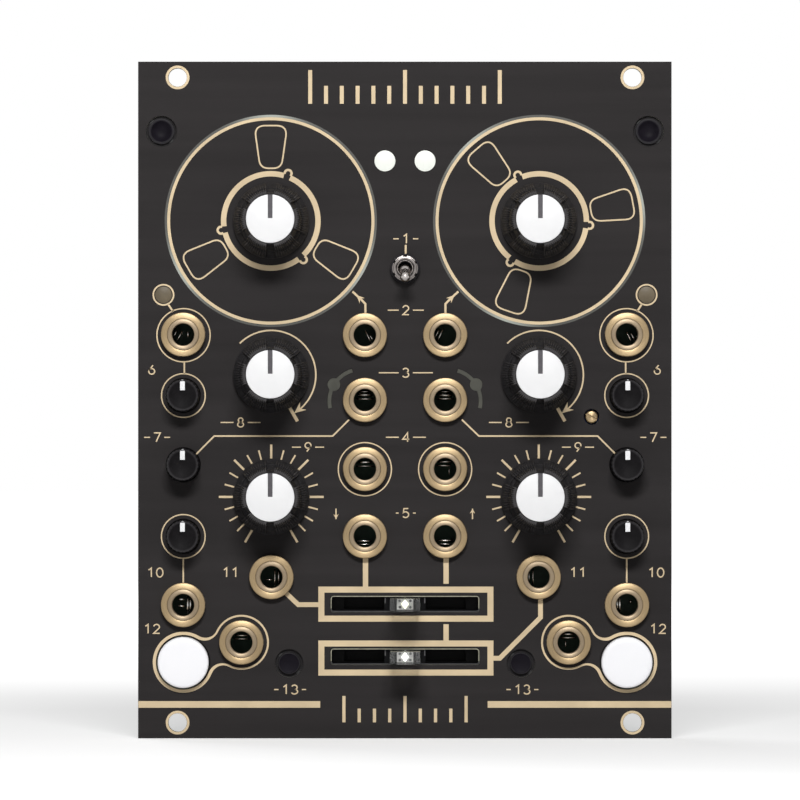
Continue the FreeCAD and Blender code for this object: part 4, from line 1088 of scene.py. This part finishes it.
def slider_lever(name, z):
    """The clear lever with the light, its reflector and four dents behind it."""
    body = name + "_slider"
    lever = box(bmesh.new(), 0, z, *LEVER)
    piece(name + "_clear_lever", softened(lever, 0.12, 2), CLEAR, body, body + "_lever")
    reflector = softened(box(bmesh.new(), 0, z, 3.1, 2.05, -0.5, 0.1), 0.1)
    piece(name + "_lever_reflector", reflector, REFLECTOR, body)
    dents = bmesh.new()
    dent = [(0, -0.56), (0.2, -0.56), (0.26, -0.52), (0.26, -0.3), (0, -0.3)]
    for a, b in ((-1.0, 0.62), (1.0, 0.62), (-1.0, -0.58), (1.0, -0.58)):
        lathe(dents, dent, 16, a, z + b)
    piece(name + "_lever_dents", dents, DARK_EDGE, body)
    profile = [(0, -1.1), (0.22, -1.06), (0.42, -0.95), (0.56, -0.7), (0.56, 0.0), (0, 0.0)]
    light = turned_mesh(profile, 48, shape=star)
    bmesh.ops.scale(light, vec=(1.0, 1.0, 1.25), verts=light.verts)
    shine = WARM_DIODE if name == "upper" else DIODE
    piece(name + "_lever_light", light, shine, body, at=(0, 0, z))


def slider_carriage(name, z):
    body = name + "_slider"
    bm = bmesh.new()
    for size in ((5.8, 2.6, 0.5, 5.1), (7.8, 2.6, 1.3, 5.1), (4.1, 2.5, 0.1, 0.6)):
        box(bm, 0, z, *size)
    softened(bm, 0.12)
    box(bm, 0, z, 2.6, 1.6, 5.1, 6.4)
    box(bm, 0, z, 7.8, 6.4, 6.4, 11.7)
    piece(name + "_carriage", bm, GLOSS_BLACK, body, body + "_carriage")
    # Thin lighter-grey raised strokes inside and beside the clear lever: painted highlight,
    # standing for the bright edges of the lever's moulding.
    edges = bmesh.new()
    for sign in (-1, 1):
        inner, outer = sign * 1.78, sign * 2.82
        rim = [(inner, z - 1.24), (outer, z - 1.24), (outer, z + 0.78), (inner, z + 0.78)]
        ribbon(edges, rim, 0.1, closed=True, top=-0.42, bottom=-0.6)
        side = [(sign * 3.75, z + 1.15), (sign * 3.75, z + 0.1)]
        ribbon(edges, side, 0.22, top=-1.1, bottom=-1.4)
    piece(name + "_carriage_edges", edges, DARK_EDGE, body)


def slider_slot(name, z):
    """The pot's track behind a slot, with a pale strip along the slot's top and ends as painted
    highlight and a dimmer strip along its lower edge as painted shade.
    """
    track = box(bmesh.new(), 0, z, 33.0, 6.6, 11.76, 11.96)
    for offset in (-1.6, 1.6):
        box(track, 0, z + offset, 31.0, 1.2, 11.72, 11.78)
    piece(name + "_slider_track", track, GLOSS_BLACK)
    edge = rounded(rectangle(0, z, 28.05, 2.85), 0.55)
    lower = sorted((p for p in edge if p[1] < z - 0.9), key=lambda p: p[0])
    upper = [p for p in edge if p[1] >= z - 0.9]
    left = sorted((p for p in upper if p[0] < 0), key=lambda p: (p[1], p[0]))
    right = sorted((p for p in upper if p[0] > 0), key=lambda p: (-p[1], p[0]))
    # Painted highlight: a pale strip along the slot's top and ends.
    pale = ribbon(bmesh.new(), left + right, 0.16, top=-0.2, bottom=-0.6)
    piece(name + "_slot_painted_highlight", pale, LAMINATE)
    around = [left[0]] + lower + [right[-1]]
    # Painted shade: a dimmer strip along the slot's lower edge.
    dull = ribbon(bmesh.new(), around, 0.12, top=-0.3, bottom=-0.6)
    piece(name + "_slot_painted_shade", dull, DARK_EDGE)


def sliders():
    for name, z in SLIDERS:
        slider_carriage(name, z)
        slider_lever(name, z)
        slider_slot(name, z)


# Buttons
BUTTONS = (
    ("record", RECORD, LIT_BUTTON, 72, [
        (0, -2.4), (3.6, -2.4), (4.36, -2.38), (4.67, -2.28), (4.8, -2.1), (4.84, -1.85),
        (4.84, 1.0), (4.7, 1.2), (2.2, 1.2), (2.2, 7.5), (0, 7.5),
    ]),
    ("erase", ERASE, BUTTON_BLACK, 56, [
        (0, 0.02), (1.5, 0.0), (1.8, -0.08), (1.9, -0.16), (2.0, -0.13), (2.08, 0.0), (2.1, 0.3),
        (2.1, 7.6), (1.9, 7.8), (1.2, 7.8), (1.2, 8.7), (0, 8.7),
    ]),
    ("corner", CORNER, BUTTON_BLACK, 56, [
        (0, 0.75), (0.9, 0.68), (1.5, 0.42), (1.85, 0.05), (2.0, -0.06), (2.2, -0.08),
        (2.4, -0.02), (2.44, 0.2), (2.44, 7.6), (2.24, 7.8), (1.2, 7.8), (1.2, 8.7), (0, 8.7),
    ]),
)


def buttons():
    seats = bmesh.new()
    for places, near, far in ((mirrored(*ERASE), 2.13, 2.64), (mirrored(*CORNER), 2.47, 2.88)):
        profile = [
            (near, 0.75), (near + 0.06, 0.7), (far - 0.2, 0.7), (far - 0.04, 0.55), (far, 0.6),
            (far, 1.6), (near, 1.6),
        ]
        for x, z in places:
            lathe(seats, profile, 56, x, z, closed=True)
    piece("button_seats", seats, BUTTON_SEAT)
    caps = [
        (kind, x, z, finished(kind + "_cap_left", turned_mesh(profile, segments), coat, 40))
        for kind, (x, z), coat, segments, profile in BUTTONS
    ]
    for side, sign in SIDES:
        for kind, x, z, cap in caps:
            body, replaced = kind + "_" + side, kind + "_button_" + side
            placed(kind + "_cap_" + side, cap, body, replaced, at=(sign * x, 0, z))


WINDOW_FRONT, WINDOW_BACK = 0.02, 1.98


def windows():
    """Lit windows, tinted windows and the laminate left bare beside the clock jacks."""
    for name, place, flat, radius, segments, coat in (
        ("top_windows", WINDOW_TOP, 1.85, 1.98, 48, LIT_WINDOW),
        ("input_windows", WINDOW_IN, 1.5, 1.59, 40, GLASS_FIBRE),
    ):
        bm = bmesh.new()
        profile = [(0, WINDOW_FRONT), (flat, WINDOW_FRONT), (radius, 0.06)]
        profile += [(radius, WINDOW_BACK), (0, WINDOW_BACK)]
        for spot in mirrored(*place):
            lathe(bm, profile, segments, *spot)
        piece(name, bm, coat)
    for side, sign in SIDES:
        name, outline = "clock_window_" + side, clock_arc(sign)
        placed(name, plate(name, [outline], WINDOW_FRONT, WINDOW_BACK, 0.03, TINTED))


SLOT_ANGLE = -60


def calibration():
    """The trimmer's screw, with the slot cut out of its head."""
    spot = (TRIMMER[0], 0, TRIMMER[1])
    cutter = box(bmesh.new(), 0, 0, 0.4, 3.4, 0.6, 1.35)
    slant = Matrix.Rotation(math.radians(SLOT_ANGLE), 3, "Y")
    bmesh.ops.rotate(cutter, verts=cutter.verts, matrix=slant)
    tool_mesh = bpy.data.meshes.new("slot_tool")
    cutter.to_mesh(tool_mesh)
    cutter.free()
    tool_mesh.transform(Matrix.Scale(MM, 4))
    tool = linked("slot_tool", tool_mesh)
    tool.location = Vector(spot) * MM
    profile = [(0, 0.85), (0.95, 0.85), (1.08, 0.9), (1.17, 1.02), (1.17, 3.6), (0, 3.6)]
    screw = piece(
        "calibration_slot_screw", turned_mesh(profile, 40), BRASS, "calibration",
        "calibration_screw", at=spot, sharp=40,
    )
    cut = screw.modifiers.new("slot", "BOOLEAN")
    cut.operation = "DIFFERENCE"
    cut.object = tool
    done = evaluated(screw)
    screw.modifiers.clear()
    screw.data = done
    bpy.data.objects.remove(tool)


# Boards and what stands on them. CAD pieces that need nothing more than a finish
COATS = (
    (GREEN_BOARD, ["front_board", "rear_board"]),
    (ALUMINIUM, ["board_spacers"] + [body + "_shaft" for body, spot in LARGE_KNOBS]),
    (BLACK_PLASTIC, [
        "jack_housings", "pot_housings", "small_pot_housings", "toggle_housing",
        "switch_housings", "board_connectors", "power_header",
    ]),
    (GLOSS_BLACK, ["slide_pot_frames"]),
    (BLUE_PLASTIC, ["calibration_trimmer_body"]),
    (LIT_WINDOW, ["window_lights"]),
    (GOLD, ["power_pins"]),
)
# Width, height, legs on a side and their pitch after the place of each chip
CHIPS = [(0.0, 4.0, 12.2, 12.2, 15, 0.8)]
CHIPS += [(s * 22.0, 4.0, 6.4, 14.0, 16, 0.8) for n, s in SIDES]
CHIPS += [(s * 28.0, 4.0 - 16.0 * row, 3.4, 5.0, 4, 1.2) for n, s in SIDES for row in (1, 2, 3)]
LEG_WIDTH = 0.34
# Each part of a bent leg: near and far from the chip's side, low and high over the board
LEG = ((-0.1, 0.4, 0.5, 0.66), (0.26, 0.42, 0.0, 0.6), (0.3, 0.8, 0.0, 0.14))
CAPACITORS = mirrored(19.6, 36.0)
CONNECTOR_X = 12.0
PIN_PITCH, PIN_COUNT = 2.54, 10
TRACK_WIDTH, TRACK_PITCH = 0.26, 0.75
CHIP_TOP = 1.4
REAR_STROKE = {"top": -REAR_BACK - 0.025, "bottom": -REAR_BACK + 0.02}


def boards():
    for coat, names in COATS:
        for name in names:
            materials = frame["nodes"][name].data.materials
            materials.clear()
            materials.append(coat)


def on_rear(profile):
    """A profile whose depths are given from the back of the rear board."""
    return [(radius, REAR_BACK + depth) for radius, depth in profile]


def rear_chips():
    """Moulded chips with a pin mark and bent legs, on the back of the rear board."""
    bodies, legs, marks = bmesh.new(), bmesh.new(), bmesh.new()
    pin_mark = on_rear([(0, 1.41), (0.3, 1.41), (0.34, 1.3), (0, 1.3)])
    for x, z, width, height, count, pitch in CHIPS:
        box(bodies, x, z, width, height, REAR_BACK + 0.1, REAR_BACK + CHIP_TOP)
        lathe(marks, pin_mark, 16, x + width / 2 - 0.9, z + height / 2 - 0.9)
        ways = [(1, 0), (-1, 0)] + ([(0, 1), (0, -1)] if width == height else [])
        for dx, dz in ways:
            for k in range(count):
                slide = (k - (count - 1) / 2) * pitch
                root_x = x + dx * width / 2 + dz * slide
                root_z = z + dz * height / 2 + dx * slide
                for near, far, low, high in LEG:
                    middle, long = (near + far) / 2, far - near
                    size = (long, LEG_WIDTH) if dx else (LEG_WIDTH, long)
                    spot = (root_x + dx * middle, root_z + dz * middle)
                    box(legs, *spot, *size, REAR_BACK + low, REAR_BACK + high)
    softened(bodies, 0.15)
    piece("chip_bodies", bodies, CHIP, "module", "board_chips")
    piece("chip_legs", legs, SOLDER)
    piece("chip_pin_marks", marks, DARK_EDGE)


def passive_places():
    """Small two-ended parts round the chips and beside the power header: x, z and if upright."""
    for k in range(-2, 3):
        for sign in (-1, 1):
            yield k * 2.6, 4.0 + sign * 9.0, True
            yield sign * 9.0, 4.0 + k * 2.6, False
            yield sign * 30.2, 4.0 + k * 2.6, False
    for sign in (-1, 1):
        for row in (1, 2, 3):
            for k in range(4):
                yield sign * 22.4, 6.0 - 16.0 * row - k * 1.9, False
                if row != 2:
                    yield sign * 33.4, 6.0 - 16.0 * row - k * 1.9, False
        for k in range(6):
            yield sign * (29.5 + 2.1 * k), 31.0, True
            yield sign * (3.0 + 2.1 * k), -27.0, True
        for k in range(5):
            yield sign * 41.0, -1.0 + k * 2.4, False


def rear_passives():
    """Resistors and ceramic parts in a random order, each with two soldered ends."""
    draw = random.Random(11)
    bodies = {CERAMIC: bmesh.new(), CHIP: bmesh.new()}
    ends = bmesh.new()
    for x, z, upright in passive_places():
        kind = CERAMIC if draw.random() < 0.55 else CHIP
        tall = 0.75 if kind is CERAMIC else 0.5
        for away, wide, long, top, bm in (
            (0, 0.9, 1.2, tall - 0.04, bodies[kind]), (0.65, 1.0, 0.4, tall, ends),
            (-0.65, 1.0, 0.4, tall, ends),
        ):
            size = (wide, long) if upright else (long, wide)
            spot = (x, z + away) if upright else (x + away, z)
            box(bm, *spot, *size, REAR_BACK, REAR_BACK + top)
    piece("rear_ceramic_parts", bodies[CERAMIC], CERAMIC)
    piece("rear_resistors", bodies[CHIP], CHIP)
    piece("rear_part_ends", ends, SOLDER)


def rear_cans():
    """Electrolytic cans on their bases, each with a dark sector and a pressed cross."""
    bases, cans, sectors = bmesh.new(), bmesh.new(), bmesh.new()
    base = [(-3.3, -3.3), (3.3, -3.3), (3.3, 2.3), (2.3, 3.3), (-2.3, 3.3), (-3.3, 2.3)]
    can = on_rear([
        (0, 5.7), (2.7, 5.7), (2.8, 5.8), (2.95, 5.78), (3.15, 5.5), (3.15, 2.7), (2.98, 2.5),
        (2.98, 2.3), (3.15, 2.1), (3.15, 1.1), (0, 1.1),
    ])
    near, far = REAR_BACK + 5.6, REAR_BACK + 5.73
    for x, z in CAPACITORS:
        prism(bases, base, REAR_BACK, REAR_BACK + 1.1, x, z)
        lathe(cans, can, 48, x, z)
        prism(sectors, arc(0, 0, 2.66, 125, 235, 20), near, far, x, z)
        for sign in (-1, 1):
            line = [(x - 1.6, z - 1.6 * sign), (x + 1.6, z + 1.6 * sign)]
            ribbon(sectors, line, 0.14, top=-far, bottom=-near)
    piece("capacitor_bases", bases, CHIP)
    piece("capacitor_cans", cans, ALUMINIUM, "module", "board_capacitors", sharp=50)
    piece("capacitor_marks", sectors, DARK_EDGE)


# Bundles of tracks on the right half of the rear board, each with its number of tracks
BUNDLES = (
    ([(7.2, 7.0), (11.0, 7.0), (14.5, 4.5), (18.2, 4.5)], 7),
    ([(2.5, -3.2), (2.5, -12.0), (7.5, -17.0), (10.8, -20.3), (25.4, -20.3)], 3),
    ([(25.8, -1.5), (35.0, -1.5), (39.5, -6.0), (39.5, -40.0)], 5),
    ([(30.5, -12.0), (33.5, -12.0), (37.0, -15.5), (37.0, -20.0)], 3),
    ([(12.0, 24.5), (12.0, 17.0), (8.0, 13.0), (5.0, 13.0), (5.0, 10.9)], 4),
    ([(22.0, 12.0), (22.0, 21.0), (27.0, 26.0), (43.5, 26.0), (43.5, -8.0)], 4),
    ([(4.5, -29.0), (4.5, -38.0), (9.5, -43.0), (25.0, -43.0)], 5),
)


def rear_tracks():
    tracks, vias = bmesh.new(), bmesh.new()
    via = on_rear([(0.16, 0.04), (0.34, 0.04), (0.36, -0.01), (0.16, -0.01)])
    for sign in (-1, 1):
        for points, count in BUNDLES:
            line = [(sign * a, b) for a, b in points]
            for k in range(count):
                shift = (k - (count - 1) / 2) * TRACK_PITCH
                moved = []
                for step, point in enumerate(line):
                    out, stretch = square_out(line, step, False)
                    moved.append(tuple(Vector(point) + out * shift * stretch))
                ribbon(tracks, moved, TRACK_WIDTH, **REAR_STROKE)
                for x, z in (moved[0], moved[-1]):
                    lathe(vias, via, 12, x, z, closed=True)
    ribbon(tracks, rectangle(0, 0, 92.4, 98.4), 0.5, closed=True, **REAR_STROKE)
    piece("covered_tracks", tracks, TRACK)
    piece("track_vias", vias, SOLDER)


def rear_print():
    """Printed frames round chips, cans, header and connectors, and a plus beside each can."""
    printed = bmesh.new()
    frames = []
    for x, z, width, height, count, pitch in CHIPS:
        more = (3.2, 3.2) if width == height else (0.6, 0.8)
        frames.append((x, z, width + more[0], height + more[1]))
    frames += [(x, z, 8.0, 8.0) for x, z in CAPACITORS] + [(0, 36.0, 21.6, 10.0)]
    frames += [
        (x, z, 2.6, height) for x in (-CONNECTOR_X, CONNECTOR_X)
        for z, height in ((37.35, 24.7), (-8.0, 26.0))
    ]
    for outline in frames:
        ribbon(printed, rectangle(*outline), 0.16, closed=True, **REAR_STROKE)
    for x, z in CAPACITORS:
        ribbon(printed, [(x - 0.6, z + 5.0), (x + 0.6, z + 5.0)], 0.2, **REAR_STROKE)
        ribbon(printed, [(x, z + 4.4), (x, z + 5.6)], 0.2, **REAR_STROKE)
    piece("printed_outlines", printed, POINTER_WHITE)


# Pins soldered on the back of the front board, from the middle of each control
PINS = (
    (JACKS, ((0.0, 3.6), (-2.6, -2.2), (2.6, -2.2))),
    (LARGE_PLACES, ((-2.5, -4.6), (0, -4.6), (2.5, -4.6))),
    (SMALL_PLACES, ((-2.5, 4.0), (0, 4.0), (2.5, 4.0))),
    (
        mirrored(*RECORD) + mirrored(*ERASE) + mirrored(*CORNER),
        ((-2.2, -1.6), (-2.2, 1.6), (2.2, -1.6), (2.2, 1.6)),
    ),
    ([(0, z) for n, z in SLIDERS], ((-15.0, -2.0), (-15.0, 2.0), (15.0, -2.0), (15.0, 2.0))),
)


def hexagon(angle, radius, step):
    """A socket with six flats in a screw's head."""
    turn = angle % math.radians(60) - math.radians(30)
    return radius / math.cos(turn) if step in (1, 2) else radius


def soldering():
    """Soldered pins on the backs of both boards, and the screws in the spacers."""
    joints, heads = bmesh.new(), bmesh.new()
    pins = [
        (x, z + (k - (PIN_COUNT - 1) / 2) * PIN_PITCH, REAR_BACK)
        for x in (-CONNECTOR_X, CONNECTOR_X) for z in (37.5, -8.0) for k in range(PIN_COUNT)
    ]
    for places, pattern in PINS:
        pins += [(x + a, z + b, BOARD_BACK) for x, z in places for a, b in pattern]
    for x, z, back in pins:
        profile = [
            (0, 0.95), (0.24, 0.9), (0.3, 0.4), (0.5, 0.18), (0.78, 0.06), (0.8, -0.02), (0, -0.02),
        ]
        lathe(joints, [(r, back + d) for r, d in profile], 14, x, z)
    piece("soldered_pins", joints, SOLDER, sharp=60)
    head = on_rear([
        (0, 0.7), (1.0, 0.7), (1.0, 1.95), (1.5, 2.0), (2.2, 1.8), (2.65, 1.2), (2.8, 0.4),
        (2.8, 0.0), (0, 0.0),
    ])
    for x, z in SPACERS:
        lathe(heads, head, 48, x, z, shape=hexagon)
    piece("spacer_screws", heads, STEEL, sharp=35)


panel_plate()
reels()
dials()
jack_rings()
record_outlines()
patch_lines()
slider_borders()
number_marks()
scale_bars()
jacks()
large_knobs()
small_knobs()
toggle()
control_hardware()
sliders()
buttons()
windows()
calibration()
boards()
rear_chips()
rear_passives()
rear_cans()
rear_tracks()
rear_print()
soldering()


# Floor, light and camera, in metres
def seen_directly(tree):
    """1 for rays from the camera and for those seen through or in a shiny surface."""
    path = node(tree, "LightPath")
    total = path.outputs["Is Camera Ray"]
    for name in ("Is Glossy Ray", "Is Transmission Ray"):
        either = {0: total, 1: path.outputs[name]}
        total = node(tree, "Math", either, operation="MAXIMUM").outputs[0]
    return total


def floor():
    """A wide pale floor that glows softly far from the module, like a studio's."""
    mesh = bpy.data.meshes.new("floor")
    low = PANEL[2] * MM
    mesh.from_pydata([(-9, -9, low), (9, -9, low), (9, 9, low), (-9, 9, low)], [], [(0, 1, 2, 3)])
    ground = linked("floor", mesh)
    material = bpy.data.materials.new("pale_floor")
    material.use_nodes = True
    tree = material.node_tree
    surface = tree.nodes["Principled BSDF"]
    surface.inputs["Base Color"].default_value = (0.82, 0.82, 0.82, 1)
    surface.inputs["Roughness"].default_value = 0.9
    surface.inputs["Specular IOR Level"].default_value = 0.0
    place = node(tree, "TexCoord").outputs["Object"]
    away = node(tree, "VectorMath", {0: place}, operation="LENGTH").outputs["Value"]
    bounds = {"Value": away, "From Min": 0.2, "From Max": 0.9, "To Min": 0.42}
    strength = node(tree, "MapRange", bounds).outputs[0]
    glow = node(tree, "Emission", {"Color": (1, 1, 1, 1), "Strength": strength})
    both = node(tree, "AddShader", {0: surface.outputs[0], 1: glow.outputs[0]})
    shaders = {0: seen_directly(tree), 1: surface.outputs[0], 2: both.outputs[0]}
    mix = node(tree, "MixShader", shaders)
    tree.links.new(mix.outputs[0], tree.nodes["Material Output"].inputs["Surface"])
    mesh.materials.append(material)


def world():
    """White for what is seen directly, and a dim even light for everything else."""
    made = bpy.data.worlds.new("studio")
    bpy.context.scene.world = made
    made.use_nodes = True
    tree = made.node_tree
    plain = tree.nodes["Background"]
    plain.inputs["Color"].default_value = (1, 1, 1, 1)
    plain.inputs["Strength"].default_value = 0.06
    white = node(tree, "Background", {"Color": (1, 1, 1, 1), "Strength": 1.0})
    shaders = {0: seen_directly(tree), 1: plain.outputs[0], 2: white.outputs[0]}
    mix = node(tree, "MixShader", shaders)
    tree.links.new(mix.outputs[0], tree.nodes["World Output"].inputs["Surface"])


def lamp(name, place, width, height, power):
    """A soft rectangle of light that faces the module."""
    data = bpy.data.lights.new(name, "AREA")
    data.shape = "RECTANGLE"
    data.size = width
    data.size_y = height
    data.energy = power
    made = linked(name, data)
    made.location = place
    made.rotation_euler = (-Vector(place)).to_track_quat("-Z", "Y").to_euler()


def camera():
    """A long lens, with its place and its shift found from the photo."""
    distance = 1.6
    sensor_width = 36
    picture_width = 0.1519
    centre_x, centre_z = -0.00095, 0.0
    data = bpy.data.cameras.new("camera")
    made = linked("camera", data)
    made.location = (-0.005, -distance, -0.009)
    made.rotation_euler = (math.radians(90), 0, 0)
    data.sensor_width = sensor_width
    data.lens = sensor_width * distance / picture_width
    data.shift_x = (centre_x - made.location.x) / picture_width
    data.shift_y = (centre_z - made.location.z) / picture_width
    data.clip_end = 60
    bpy.context.scene.camera = made


floor()
world()
lamp("key", (0.0, -0.75, 0.365), 0.27, 0.11, 5.7)
lamp("back_fill", (-0.6, 1.4, 0.6), 0.8, 0.8, 12)
camera()
bpy.context.scene.view_settings.view_transform = "Standard"
